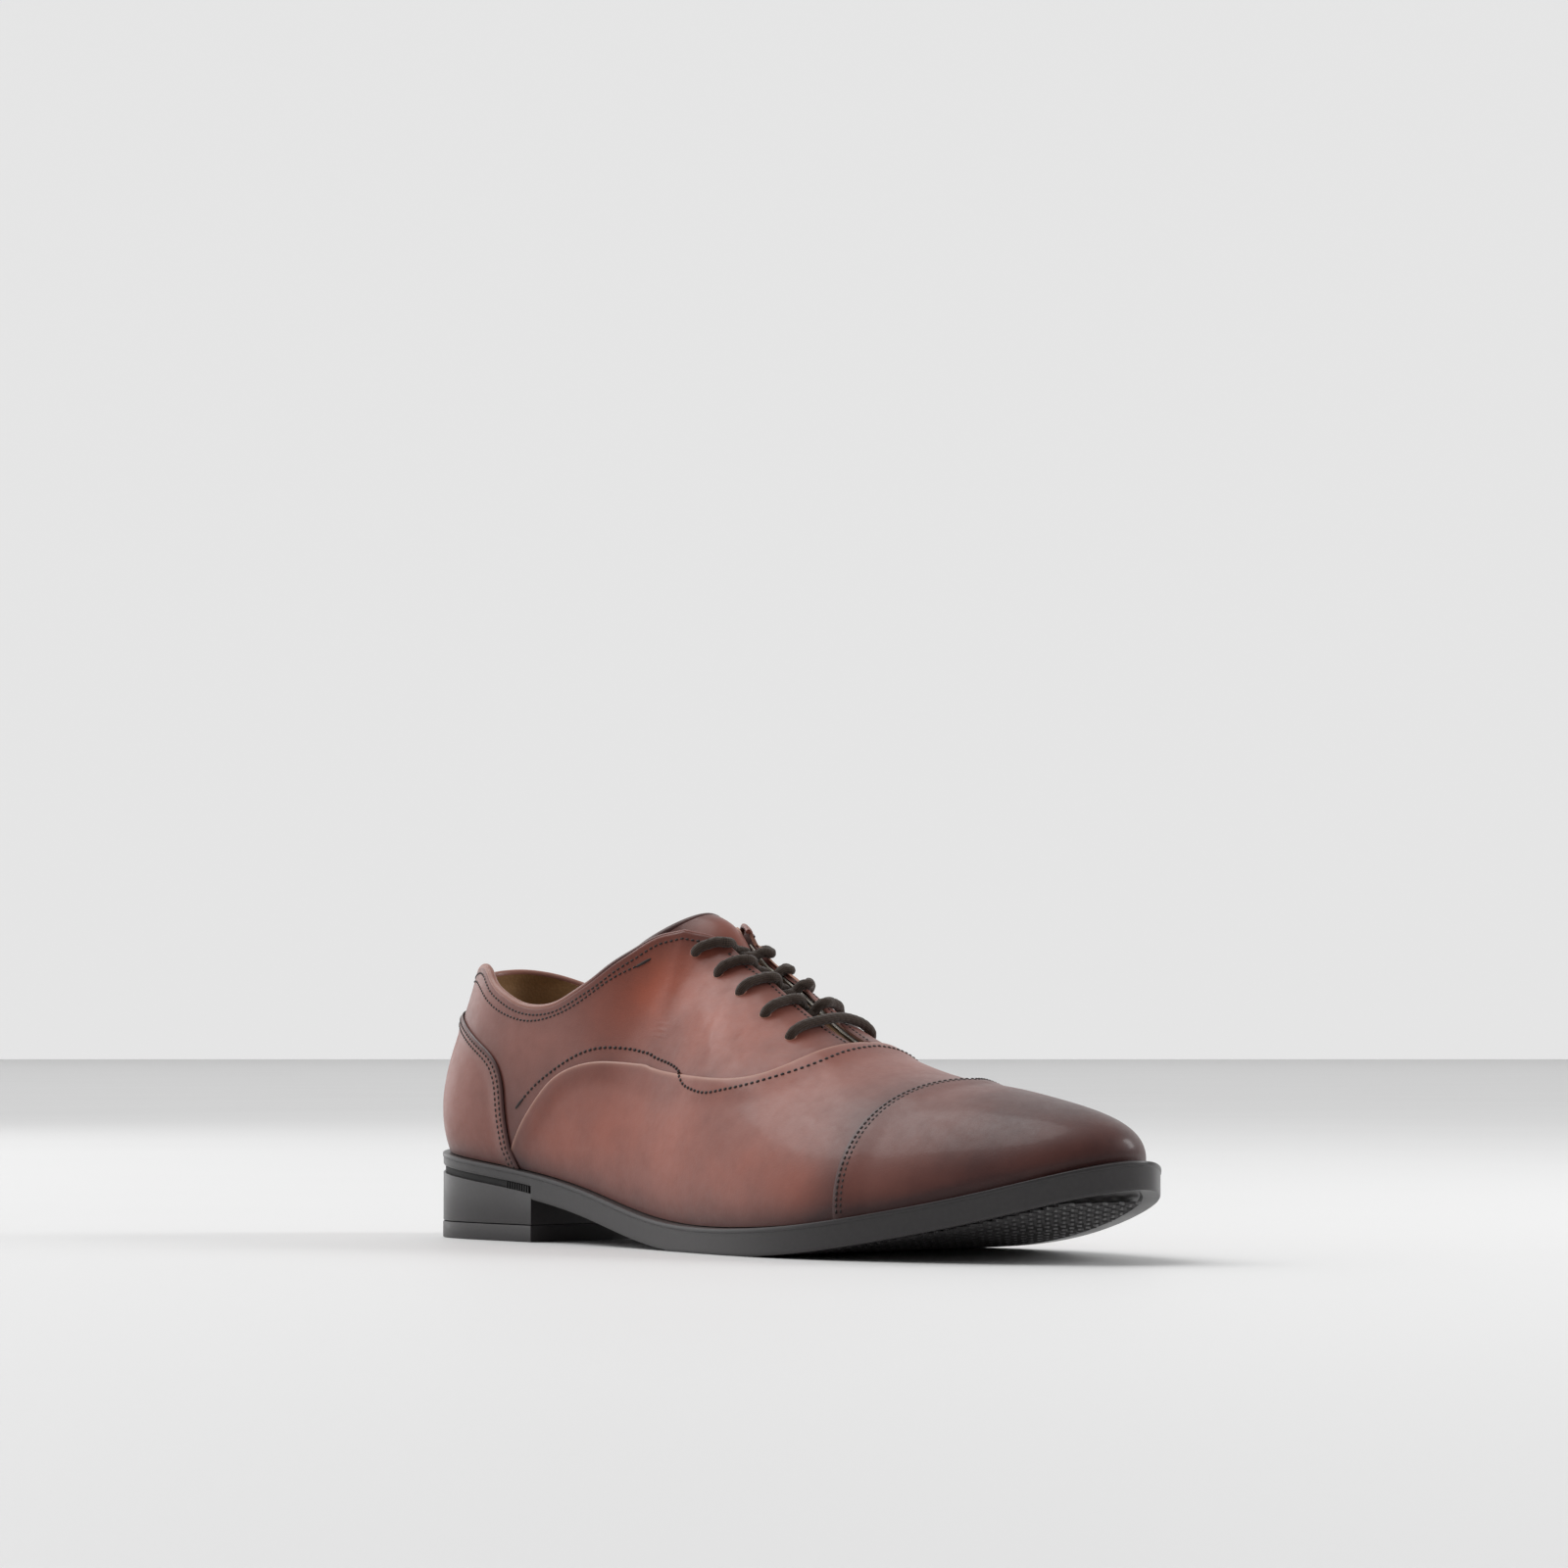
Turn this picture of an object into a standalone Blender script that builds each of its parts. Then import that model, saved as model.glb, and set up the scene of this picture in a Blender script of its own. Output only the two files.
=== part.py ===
"""Leather oxford shoe for the right foot, built in layers on one last surface.

Blender units are metres, +X points to the toe, +Y to the inner (medial) side, +Z up.
The design below is written in millimetres, measured from the heel back along the sole.
"""
import math

import bmesh
import bpy
import numpy as np
from mathutils import Matrix, Vector

MM = 0.001

# Driving dimensions of the bottom unit
LENGTH = 302.0
BALL_WIDTH = 102.5
HEEL_LENGTH = 66.0
HEEL_RISE = 13.0
TOE_SPRING = 21.5
SOLE_EDGE = 8.0
WELT = 2.2
WELT_WIDTH = 9.0
HEEL_SEAT = 4.2
BAND = 2.2
TOP_PIECE = 5.4
FLEX_LINE = 213.0
INSOLE = 2.0
SOCK = 1.0
HEEL_PAD = 2.0
FILLER = 1.9
SHANK_LENGTH = 112.0
SHANK_WIDTH = 13.0
SHANK = 1.2

# Driving dimensions of the upper
LEATHER = 1.2
LINING = 0.9
PUFF = 1.0
STAY = 0.5
STAY_WIDTH = 0.2
TONGUE = 1.1
TONGUE_LINING = 2.0
FACING_GAP = 15.0
INSTEP_RISE = 0.0
COLLAR_RISE = 0.0
CAP_LENGTH = 79.0

# Lace and eyelets
EYELET_ROWS = 5
LACE = 2.2
HOLE = 3.4
EYELET_RIM = 6.4
AGLET_LENGTH = 18.0

GAP = 0.3
SEAM_GAP = 0.4

# Depths below the outer face of the upper
STAY_DEPTH = LEATHER + 0.8
LINING_DEPTH = STAY_DEPTH + STAY + 0.9
COLLAR_LINING_DEPTH = LEATHER + 0.5
PUFF_DEPTH = LEATHER + 0.8
DEEP_LINING_DEPTH = PUFF_DEPTH + PUFF + 0.8
LACE_DEPTH = LINING_DEPTH + LINING + LACE / 2 + 0.8
TONGUE_DEPTH = LACE_DEPTH + LACE / 2 + 0.9
TONGUE_TOP_DEPTH = COLLAR_LINING_DEPTH + LINING + 0.8

# The outline and the profiles are drawn for this length and width, and stretch with the sole.
DRAWN_LENGTH = 302.0
DRAWN_WIDTH = 102.5
ALONG = LENGTH / DRAWN_LENGTH
ACROSS = BALL_WIDTH / DRAWN_WIDTH
LATERAL = [(298, 12), (288, 23), (272, 32.3), (250, 42), (222, 50), (195, 51.5), (165, 47.5),
           (130, 40.5), (95, 35.5), (60, 33), (30, 32), (9, 24)]
MEDIAL = [(298, 12), (288, 22.5), (272, 31.5), (250, 40.8), (225, 49), (205, 51), (175, 44.5),
          (140, 32.5), (105, 28), (60, 31), (30, 31), (9, 23)]
RIM = [(0, 21), (35, 17.3), (72, 13), (95, 9), (125, 2.8), (155, 0), (185, 0.3), (210, 2),
       (240, 6.3), (270, 12.6), (302, 21.5)]
INSET = [(0, 2.5), (60, 2.5), (110, 3), (160, 4), (200, 4.5), (260, 4.5), (302, 5)]
RIDGE = [(262, 47.5), (245, 50.3), (225, 52.6), (200, 58.2), (175, 68), (155, 78.8), (140, 88),
         (125, 98), (110, 108)]
RIDGE_SIDE = [(262, 1), (230, 1.2), (200, 1.2), (184, 1.3), (168, 1.8), (153, 3), (125, 4.2),
              (110, 3.4), (90, 1.5), (60, 0), (10, 0)]
RIDGE_REACH = [(302, 259), (292, 257), (275, 250), (250, 235), (220, 212), (190, 185), (160, 155),
               (135, 130), (118, 114), (100, 99), (70, 72), (40, 42), (20, 24), (8, 14), (0, 10)]
CONE = [(114, 105.5), (60, 102), (10, 96)]
CONE_HALF = [(142, 0), (130, 5), (118, 12), (100, 20), (70, 25), (40, 24.5), (20, 18.5), (8, 11), (0, 0)]
BULGE = [(302, 4), (260, 2.5), (220, 3), (180, 4), (140, 5), (100, 4.6), (60, 5), (30, 7.3), (0, 9)]
RISE = [(302, 12), (280, 13), (240, 19), (200, 24), (160, 30), (120, 32), (80, 28), (40, 24), (0, 24)]
SHOULDER = [(302, 0.62), (250, 0.6), (220, 0.58), (190, 0.57), (160, 0.6), (130, 0.62), (118, 0.6)]

# Seams as (distance from the heel back, height share from the sole to the ridge)
COUNTER_EDGE = [(57.5, 0), (54, 0.085), (51.7, 0.26), (50, 0.367), (46, 0.45), (34.5, 0.54),
                (12, 0.668), (0, 0.7)]
SWOOP = [(54, 0.085), (59, 0.185), (67, 0.305), (76, 0.4), (86, 0.45), (98, 0.476), (110, 0.474),
         (121.5, 0.449), (135.5, 0.434), (148, 0.445), (160.5, 0.481), (173, 0.551), (181, 0.645),
         (186.2, 0.773), (189, 0.87), (191, 0.96), (191.8, 1)]
COLLAR = [(0, 0.868), (12, 0.865), (27.8, 0.853), (34.8, 0.793), (44, 0.733), (53.7, 0.687),
          (62.5, 0.672), (70.6, 0.685), (78.9, 0.728), (85.7, 0.77), (92.6, 0.821), (101.3, 0.874)]
INNER_COLLAR = [(0, 0.868), (6, 0.86), (12, 0.832), (17, 0.808), (23, 0.778), (34.8, 0.725), (44, 0.692),
                (53.7, 0.672), (62.5, 0.666), (70.6, 0.68), (78.9, 0.722), (85.7, 0.766), (92.6, 0.818),
                (101.3, 0.874)]
TOPLINE = {-1: COLLAR + [(110.5, 0.914), (118.5, 0.918), (124.5, 0.935), (131, 0.947)],
           1: INNER_COLLAR + [(110.5, 0.914), (118.5, 0.945), (124.5, 0.975), (127.5, 0.985)]}
FACING = {-1: [(127, 7), (153, 6.2), (170, 5.6), (190, 4.8)],
          1: [(127.5, 6.8), (140, 5.8), (155, 4.1), (170, 1.9), (190, 0.7)]}
VAMP_LINING_EDGE = [(152, 0), (154, 0.2), (160, 0.4), (172, 0.58), (183, 0.76), (189, 0.9)]
EYELET_LINE = [(123.2, 0.856), (135, 0.796), (148, 0.774), (160.6, 0.772), (173.8, 0.764)]
TONGUE_SIT = [(190, 0), (150, 0.6), (130, 1.6), (121, 1.6), (115, -0.5), (110, -5)]
CAP_SWEEP = 23.0
QUARTER_LINING_START = 60.0
TONGUE_ROOT = 190.0

LATERAL_SIDE = -1
MEDIAL_SIDE = 1


# ---------------------------------------------------------------- curves

def spline(points):
    """A natural cubic through (x, y) points, as a function of x."""
    xs, ys = (np.array(values, float) for values in zip(*sorted(points)))
    step = np.diff(xs)
    matrix = np.eye(len(xs))
    target = np.zeros(len(xs))
    for i in range(1, len(xs) - 1):
        matrix[i, i - 1:i + 2] = step[i - 1], 2 * (step[i - 1] + step[i]), step[i]
        target[i] = 6 * ((ys[i + 1] - ys[i]) / step[i] - (ys[i] - ys[i - 1]) / step[i - 1])
    bend = np.linalg.solve(matrix, target)

    def value(x):
        x = np.clip(np.asarray(x, float), xs[0], xs[-1])
        i = np.clip(np.searchsorted(xs, x, side="right") - 1, 0, len(xs) - 2)
        t = x - xs[i]
        slope = (ys[i + 1] - ys[i]) / step[i] - step[i] * (2 * bend[i] + bend[i + 1]) / 6
        return ys[i] + t * (slope + t * (bend[i] / 2 + t * (bend[i + 1] - bend[i]) / (6 * step[i])))
    return value


def closed_spline(points, period):
    """A cubic through (x, y) points that repeats every period."""
    points = sorted(points)
    wrap = 4
    before = [(x - period, y) for x, y in points[-wrap:]]
    after = [(x + period, y) for x, y in points[:wrap]]
    value = spline(before + points + after)
    start = points[0][0]
    return lambda x: value((np.asarray(x, float) - start) % period + start)


def drawn(points, scale=1.0):
    """A profile over the drawn length, as a function of the real distance from the heel back."""
    curve = spline(points)
    return lambda x: scale * curve(np.asarray(x, float) / ALONG)


def smooth(start, end, x):
    t = np.clip((np.asarray(x, float) - start) / (end - start), 0, 1)
    return t * t * (3 - 2 * t)


def station(x):
    """0 at the toe tip, 1 at the heel back."""
    return np.arccos(np.clip(2 * np.asarray(x, float) / DRAWN_LENGTH - 1, -1, 1)) / math.pi


def reach(u):
    return DRAWN_LENGTH * (1 + np.cos(math.pi * np.asarray(u, float))) / 2


def path(points, count):
    """Evenly spaced (u, t) places along a smooth line through (x, t) points."""
    places = np.array([(float(station(x)), t) for x, t in points])
    lengths = np.hypot(np.diff(places[:, 0]) * 260, np.diff(places[:, 1]) * 70)
    along = np.concatenate([[0], np.cumsum(lengths)])
    u = spline(list(zip(along, places[:, 0])))
    t = spline(list(zip(along, places[:, 1])))
    w = np.linspace(0, along[-1], count)
    return np.stack([u(w), t(w)], 1)


def shifted(line, distance):
    """The line moved to its left, in millimetres on the surface, near enough for a seam."""
    flat = line * (-260, 70)
    way = np.gradient(flat, axis=0)
    way /= np.linalg.norm(way, axis=1, keepdims=True)
    return (flat + distance * np.stack([-way[:, 1], way[:, 0]], 1)) / (-260, 70)


# ---------------------------------------------------------------- sole outline and profiles

outline_y = closed_spline(
    [(-float(station(x)), -y) for x, y in LATERAL] + [(float(station(x)), y) for x, y in MEDIAL]
    + [(0, 0.5), (1, 0)], 2)
rise_curve = drawn(RIM)
inset_curve = drawn(INSET)


def profile_lift(x):
    """How far the rim leaves its lowest point: HEEL_RISE behind it and TOE_SPRING before it."""
    shape = rise_curve(x)
    rear = np.asarray(x) < 155 * ALONG
    return np.where(rear, shape * HEEL_RISE / 13.0, shape * TOE_SPRING / 21.5)


def rim_top(x):
    return SOLE_EDGE + profile_lift(x)


def tread(x):
    """The sole's underside, flat where it rests."""
    return np.maximum(profile_lift(x) - 0.4, 0)


def outline(u, inset=0.0):
    """Points of the sole's edge, moved in by inset."""
    def edge(at):
        return np.stack([reach(at) * ALONG, outline_y(at) * ACROSS], -1)
    u = np.asarray(u, float)
    step = 1e-4
    way = edge(u + step) - edge(u - step)
    way /= np.linalg.norm(way, axis=-1, keepdims=True)
    normal = np.stack([way[..., 1], -way[..., 0]], -1)
    return edge(u) - normal * np.asarray(inset)[..., None], normal


# ---------------------------------------------------------------- last surface

ridge_curve = spline(RIDGE)
ridge_reach = spline(RIDGE_REACH)
cone_curve = spline(CONE)
ridge_side = spline(RIDGE_SIDE)
cone_half = spline([(float(station(x)), half) for x, half in CONE_HALF])
bulge_curve = spline(BULGE)
lift_curve = spline(RISE)
shoulder_curve = spline(SHOULDER)
facing_width = {side: spline(points) for side, points in FACING.items()}
topline_share = spline(TOPLINE[-1])
tongue_sit = spline(TONGUE_SIT)


def crest(x):
    """Height of the last's ridge over the floor, or of the cone's rim behind it."""
    front = ridge_curve(np.clip(x, 110, 262)) + INSTEP_RISE * smooth(230, 170, x)
    back = cone_curve(np.clip(x, 10, 114)) + COLLAR_RISE
    lift = profile_lift(np.asarray(x) * ALONG) - rise_curve(np.asarray(x) * ALONG)
    return np.where(np.asarray(x) > 114, front, back) + lift + SOLE_EDGE - 8.0


def cone_reach(x):
    """Half the width of the last's open top, nothing in front of it."""
    return np.where(np.asarray(x) < 142, np.maximum(cone_half(station(x)), 0), 0)


def upper(u, t):
    """A point of the upper's outer face: t runs from the sole (0) to the ridge (1)."""
    u, t = np.broadcast_arrays((np.asarray(u, float) + 1) % 2 - 1, np.asarray(t, float))
    x = reach(u)
    side = np.where(u < 0, -1.0, 1.0)
    at_sole, normal = outline(u, inset_curve(x * ALONG))
    foot = np.concatenate([at_sole, (rim_top(at_sole[..., 0]) + GAP)[..., None]], -1)
    out = np.concatenate([normal, np.zeros(normal.shape[:-1] + (1,))], -1)
    up = np.zeros(foot.shape)
    up[..., 2] = 1
    top_x = ridge_reach(x)
    middle, half = ridge_side(top_x), cone_reach(x)
    top = np.stack([top_x * ALONG, (side * half + middle) * ACROSS, crest(top_x)], -1)
    slope = (crest(top_x + 1) - crest(top_x - 1)) / 2
    slope = np.where(top_x > 116, slope, 0)
    over = (foot - top) * shoulder_curve(np.clip(x, 118, 302))[..., None]
    over[..., 2] = slope * over[..., 0]
    down = out * 3 - up * (0.38 * (top[..., 2] - foot[..., 2]))[..., None]
    rear = smooth(150, 105, x)[..., None]
    first = foot + out * bulge_curve(x)[..., None] + up * lift_curve(x)[..., None]
    second = top + over * (1 - rear) + down * rear
    t = t[..., None]
    return (1 - t) ** 3 * foot + 3 * (1 - t) ** 2 * t * first + 3 * (1 - t) * t * t * second + t ** 3 * top


def facing_out(u, t):
    """The surface normal. On the ridge both sides share one, so that sheets meet there."""
    step = 1e-4
    t = np.clip(t, 0, 1 - step)

    def one_side(u):
        along = upper(u + step, t) - upper(u - step, t)
        normal = np.cross(along, upper(u, t + step) - upper(u, t))
        return normal / np.linalg.norm(normal, axis=-1, keepdims=True)
    normal = one_side(u)
    shared = (t > 0.999) & (cone_reach(reach(u)) < 0.01)
    both = normal + one_side(-np.asarray(u))
    both /= np.linalg.norm(both, axis=-1, keepdims=True)
    return np.where(shared[..., None], both, normal)


def beneath(u, t, depth):
    """The point this far below the outer face."""
    return upper(u, t) - facing_out(u, t) * np.asarray(depth)[..., None]


def share_at_width(x, side, width):
    """The height share at which this side's surface is this far from the ridge line."""
    x = np.asarray(x, float)
    u = side * station(x)
    middle_y = ridge_side(ridge_reach(x))
    low, high = np.full(x.shape, 0.6), np.full(x.shape, 1.0)
    for _ in range(30):
        middle = (low + high) / 2
        outside = side * (upper(u, middle)[..., 1] - middle_y) > width
        low, high = np.where(outside, middle, low), np.where(outside, high, middle)
    return low


# ---------------------------------------------------------------- mesh helpers

def look(name, color, roughness, metallic=0.0):
    material = bpy.data.materials.get(name) or bpy.data.materials.new(name)
    material.use_nodes = True
    surface = material.node_tree.nodes["Principled BSDF"]
    surface.inputs["Base Color"].default_value = (*color, 1)
    surface.inputs["Roughness"].default_value = roughness
    surface.inputs["Metallic"].default_value = metallic
    return material


def add_object(name, bm, material, parent=None):
    """Turns a bmesh in millimetres into a named object, in metres, centred on the sole's length."""
    bmesh.ops.translate(bm, verts=bm.verts, vec=(-LENGTH / 2, 0, 0))
    bmesh.ops.scale(bm, verts=bm.verts, vec=(MM, MM, MM))
    mesh = bpy.data.meshes.new(name)
    bm.to_mesh(mesh)
    bm.free()
    mesh.materials.append(material)
    mesh.shade_smooth()
    mesh.set_sharp_from_angle(angle=math.radians(40))
    piece = bpy.data.objects.new(name, mesh)
    bpy.context.scene.collection.objects.link(piece)
    if parent is not None:
        piece.parent = parent
        piece.matrix_parent_inverse = Matrix.Translation(-parent.location)
    return piece


def sheet(name, faces, start, thickness, material, parent=None):
    """A closed sheet under (points, normals, depths) grids that share their edges."""
    bm = bmesh.new()
    normal_layer = bm.verts.layers.float_vector.new("normal")
    depth_layer = bm.verts.layers.float.new("depth")
    for points, normals, depths in faces:
        verts = []
        for row in zip(points, normals, depths):
            verts.append([])
            for point, normal, depth in zip(*row):
                vert = bm.verts.new(point)
                vert[normal_layer] = normal
                vert[depth_layer] = depth
                verts[-1].append(vert)
        for i in range(len(verts) - 1):
            for j in range(len(verts[0]) - 1):
                bm.faces.new((verts[i][j], verts[i][j + 1], verts[i + 1][j + 1], verts[i + 1][j]))
    bmesh.ops.remove_doubles(bm, verts=bm.verts, dist=0.05)
    bmesh.ops.dissolve_degenerate(bm, edges=bm.edges, dist=0.02)
    outer = list(bm.verts)
    skin = list(bm.faces)
    ends = [(edge.verts[0], edge.verts[1], edge.link_faces[0]) for edge in bm.edges if edge.is_boundary]
    inner = {}
    for vert in outer:
        normal, depth = Vector(vert[normal_layer]), vert[depth_layer] + start
        inner[vert] = bm.verts.new(vert.co - normal * (depth + thickness))
        vert.co -= normal * depth
    for face in skin:
        bm.faces.new([inner[vert] for vert in reversed(face.verts)])
    for a, b, face in ends:
        ring = list(face.verts)
        if ring[(ring.index(a) + 1) % len(ring)] is not b:
            a, b = b, a
        bm.faces.new((b, a, inner[a], inner[b]))
    return add_object(name, bm, material, parent)


def shell(name, grids, depth, thickness, material, parent=None):
    """A closed leather sheet. Each grid holds rows of (u, t), and depth is a number or a function."""
    faces = []
    for grid in grids:
        u, t = grid[..., 0], grid[..., 1]
        depths = depth(u, t) if callable(depth) else np.full(u.shape, float(depth))
        faces.append((upper(u, t), facing_out(u, t), depths))
    return sheet(name, faces, 0.0, thickness, material, parent)


def coons(bottom, top, left, right, pull=1.0):
    """A grid of (u, t) places between four lines; bottom and top run the way of the columns.

    A higher pull keeps the right line's shape to the columns near it.
    """
    s = np.linspace(0, 1, len(bottom))[None, :, None] ** pull
    r = np.linspace(0, 1, len(left))[:, None, None]
    ruled = (1 - r) * bottom[None] + r * top[None]
    crossed = (1 - s) * left[:, None] + s * right[:, None]
    corners = ((1 - s) * (1 - r) * bottom[0] + s * (1 - r) * bottom[-1]
               + (1 - s) * r * top[0] + s * r * top[-1])
    return ruled + crossed - corners


def on_side(grid, side):
    """A grid laid out with positive u, put on one side with its rows running the right way."""
    placed = grid * (side, 1)
    return placed if side == LATERAL_SIDE else placed[:, ::-1]


def both_sides(grid):
    return [on_side(grid, LATERAL_SIDE), on_side(grid, MEDIAL_SIDE)]


def plate(name, start, end, inset, top, bottom, material, parent=None, count=24):
    """A closed slab between two stations of the sole outline, moved in by inset."""
    ends = station(np.array([start, end]) / ALONG)
    us = np.linspace(ends[0], ends[1], count)
    insets = inset(reach(us) * ALONG) if callable(inset) else np.full(count, inset)
    left = outline(-us, insets)[0]
    right = outline(us, insets)[0]
    bm = bmesh.new()
    rings = []
    for a, b in zip(left, right):
        x = (a[0] + b[0]) / 2
        low, high = float(bottom(x)), float(top(x))
        rings.append([bm.verts.new(p) for p in ((a[0], a[1], low), (b[0], b[1], low),
                                                (b[0], b[1], high), (a[0], a[1], high))])
    for a, b in zip(rings, rings[1:]):
        for i in range(4):
            j = (i + 1) % 4
            bm.faces.new((a[i], b[i], b[j], a[j]))
    bm.faces.new(rings[0])
    bm.faces.new(rings[-1][::-1])
    bmesh.ops.remove_doubles(bm, verts=bm.verts, dist=0.02)
    bmesh.ops.dissolve_degenerate(bm, edges=bm.edges, dist=0.02)
    bmesh.ops.recalc_face_normals(bm, faces=bm.faces)
    return add_object(name, bm, material, parent)


# ---------------------------------------------------------------- bottom unit

def build_sole(parent_toe):
    sole = look("sole", (0.055, 0.043, 0.038), 0.45)
    seat = look("welt", (0.075, 0.058, 0.05), 0.4)
    dark = look("heel_band", (0.02, 0.016, 0.015), 0.6)
    rubber = look("top_piece", (0.05, 0.04, 0.036), 0.6)
    breast = HEEL_LENGTH + GAP

    def under_welt(x):
        return rim_top(x) - WELT - GAP

    def seat_bottom(x):
        return rim_top(x) - HEEL_SEAT

    def band_bottom(x):
        return seat_bottom(x) - GAP - BAND

    rear = plate("outsole_rear", breast, FLEX_LINE - GAP / 2, 0, under_welt, tread, sole)
    heel_seat = plate("heel_seat", 0.05, HEEL_LENGTH, 0, under_welt, seat_bottom, sole, count=16)
    plate("outsole_forepart", FLEX_LINE + GAP / 2, LENGTH - 0.05, 0, under_welt, tread, sole, parent_toe)
    plate("heel_band", 0.05, HEEL_LENGTH, 0.7, lambda x: seat_bottom(x) - GAP, band_bottom, dark, count=16)
    plate("heel_block", 0.05, HEEL_LENGTH, 0.2, lambda x: band_bottom(x) - GAP,
          lambda x: TOP_PIECE + GAP, sole, count=16)
    plate("top_piece", 0.05, HEEL_LENGTH, 0.1, lambda x: TOP_PIECE, lambda x: 0.0, rubber, count=16)
    build_welt(seat)
    return rear, heel_seat


def build_welt(material):
    """A flat ring round the sole's edge that the upper stands on."""
    us = np.linspace(-1, 1, 57)[:-1]
    rings = []
    bm = bmesh.new()
    for inset in (0.0, WELT_WIDTH):
        flat = outline(us, np.full(len(us), inset))[0]
        top = rim_top(flat[:, 0])
        rings.append([bm.verts.new((x, y, z)) for (x, y), z in zip(flat, top)])
        rings.append([bm.verts.new((x, y, z - WELT)) for (x, y), z in zip(flat, top)])
    outer_top, outer_low, inner_top, inner_low = rings
    for i in range(len(us)):
        j = (i + 1) % len(us)
        for a, b in ((outer_top, inner_top), (inner_top, inner_low), (inner_low, outer_low),
                     (outer_low, outer_top)):
            bm.faces.new((a[i], a[j], b[j], b[i]))
    bmesh.ops.recalc_face_normals(bm, faces=bm.faces)
    add_object("welt", bm, material)


def build_inside():
    """What lies between the outsole and the foot."""
    board = look("insole_board", (0.35, 0.24, 0.14), 0.8)
    cork = look("cork", (0.3, 0.18, 0.09), 0.9)
    steel = look("steel", (0.6, 0.6, 0.6), 0.3, 1.0)
    foam = look("foam", (0.75, 0.7, 0.6), 0.9)
    sock = look("sock", (0.36, 0.2, 0.09), 0.6)

    def clear(x):
        return inset_curve(x) + DEEP_LINING_DEPTH + LINING + 1.0

    def board_bottom(x):
        return rim_top(x) + GAP

    def board_top(x):
        return board_bottom(x) + INSOLE

    def sock_bottom(x):
        return board_top(x) + GAP + (HEEL_PAD + GAP) * smooth(114, 92, x)

    plate("insole_board", 8, LENGTH - 10, clear, board_top, board_bottom, board)
    plate("heel_pad", 14, 82, lambda x: clear(x) + 4, lambda x: board_top(x) + GAP + HEEL_PAD,
          lambda x: board_top(x) + GAP, foam, count=14)
    plate("sock_lining", 8, LENGTH - 11, lambda x: clear(x) + 0.6, lambda x: sock_bottom(x) + SOCK, sock_bottom, sock)
    plate("cork_filler", 156, 286, WELT_WIDTH + 0.8, lambda x: rim_top(x) - WELT + FILLER,
          lambda x: rim_top(x) - WELT, cork, count=20)
    build_shank(steel)


def build_shank(material):
    """A thin steel strip that stiffens the waist, bent with the sole."""
    xs = np.linspace(40, 40 + SHANK_LENGTH, 12)
    bm = bmesh.new()
    rings = []
    for x in xs:
        low = float(rim_top(x)) - WELT + 0.2
        half = SHANK_WIDTH / 2
        rings.append([bm.verts.new(p) for p in ((x, -half, low), (x, half, low),
                                                (x, half, low + SHANK), (x, -half, low + SHANK))])
    for a, b in zip(rings, rings[1:]):
        for i in range(4):
            j = (i + 1) % 4
            bm.faces.new((a[i], b[i], b[j], a[j]))
    bm.faces.new(rings[0])
    bm.faces.new(rings[-1][::-1])
    bmesh.ops.recalc_face_normals(bm, faces=bm.faces)
    add_object("shank", bm, material)


# ---------------------------------------------------------------- upper

def cap_edge(t, shift=0.0):
    """Places on the cap's rear edge, which leans forward towards the ridge."""
    side = DRAWN_LENGTH - CAP_LENGTH / ALONG
    return np.stack([station(side + CAP_SWEEP * t ** 3 + shift), t], 1)


def facing_edge(side, count, low=190.3, shift=0.0, high=None):
    """A quarter's front edge, from the throat up to its top corner."""
    xs = np.linspace(low, high or TOPLINE[side][-1][0], count)
    width = facing_width[side](xs) * FACING_GAP / 15.0 + shift
    return np.stack([station(xs), np.minimum(share_at_width(xs, side, width), 0.985)], 1)


def crossing(a, b, first=0):
    """Where the lines that two edges start with meet."""
    scale = np.array([-260.0, 70.0])
    (p, q), (r, w) = a[first:first + 2] * scale, b[:2] * scale
    share = np.cross(r - p, w - r) / np.cross(q - p, w - r)
    return (p + (q - p) * share) / scale


def build_cap(toe):
    leather = look("leather", (0.28, 0.09, 0.055), 0.35)
    stiff = look("toe_puff", (0.7, 0.66, 0.58), 0.8)
    for name, rows, shift, depth, thick, material in (
            ("toe_cap", np.linspace(0, 1, 9), SEAM_GAP / 2, 0, LEATHER, leather),
            ("toe_puff", np.linspace(0.02, 1, 7), 9, PUFF_DEPTH, PUFF, stiff)):
        shares = np.linspace(1, 0, 9)
        edge = cap_edge(rows, shift)
        grid = np.stack([edge[:, :1] * shares, np.repeat(rows[:, None], len(shares), 1)], -1)
        shell(name, both_sides(grid), depth, thick, material, toe)


def swoop_line(side, count=17):
    """The line where vamp and quarter meet, from the counter cover to the facing's foot."""
    line = path(SWOOP, 240)
    foot = float(share_at_width(190.0, side, facing_width[side](190) * FACING_GAP / 15.0))
    fit = int(np.argmax((line[:, 1] >= foot) & (reach(line[:, 0]) > 186)))
    return line[np.linspace(0, fit, count).round().astype(int)]


def counter_line(shift=0.0):
    """The counter cover's edge; the swoop starts at its second place."""
    line = path(COUNTER_EDGE[1:], 11)
    start = np.array([[float(station(COUNTER_EDGE[0][0])), 0.0]])
    return shifted(np.concatenate([start, line]), shift)


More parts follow.
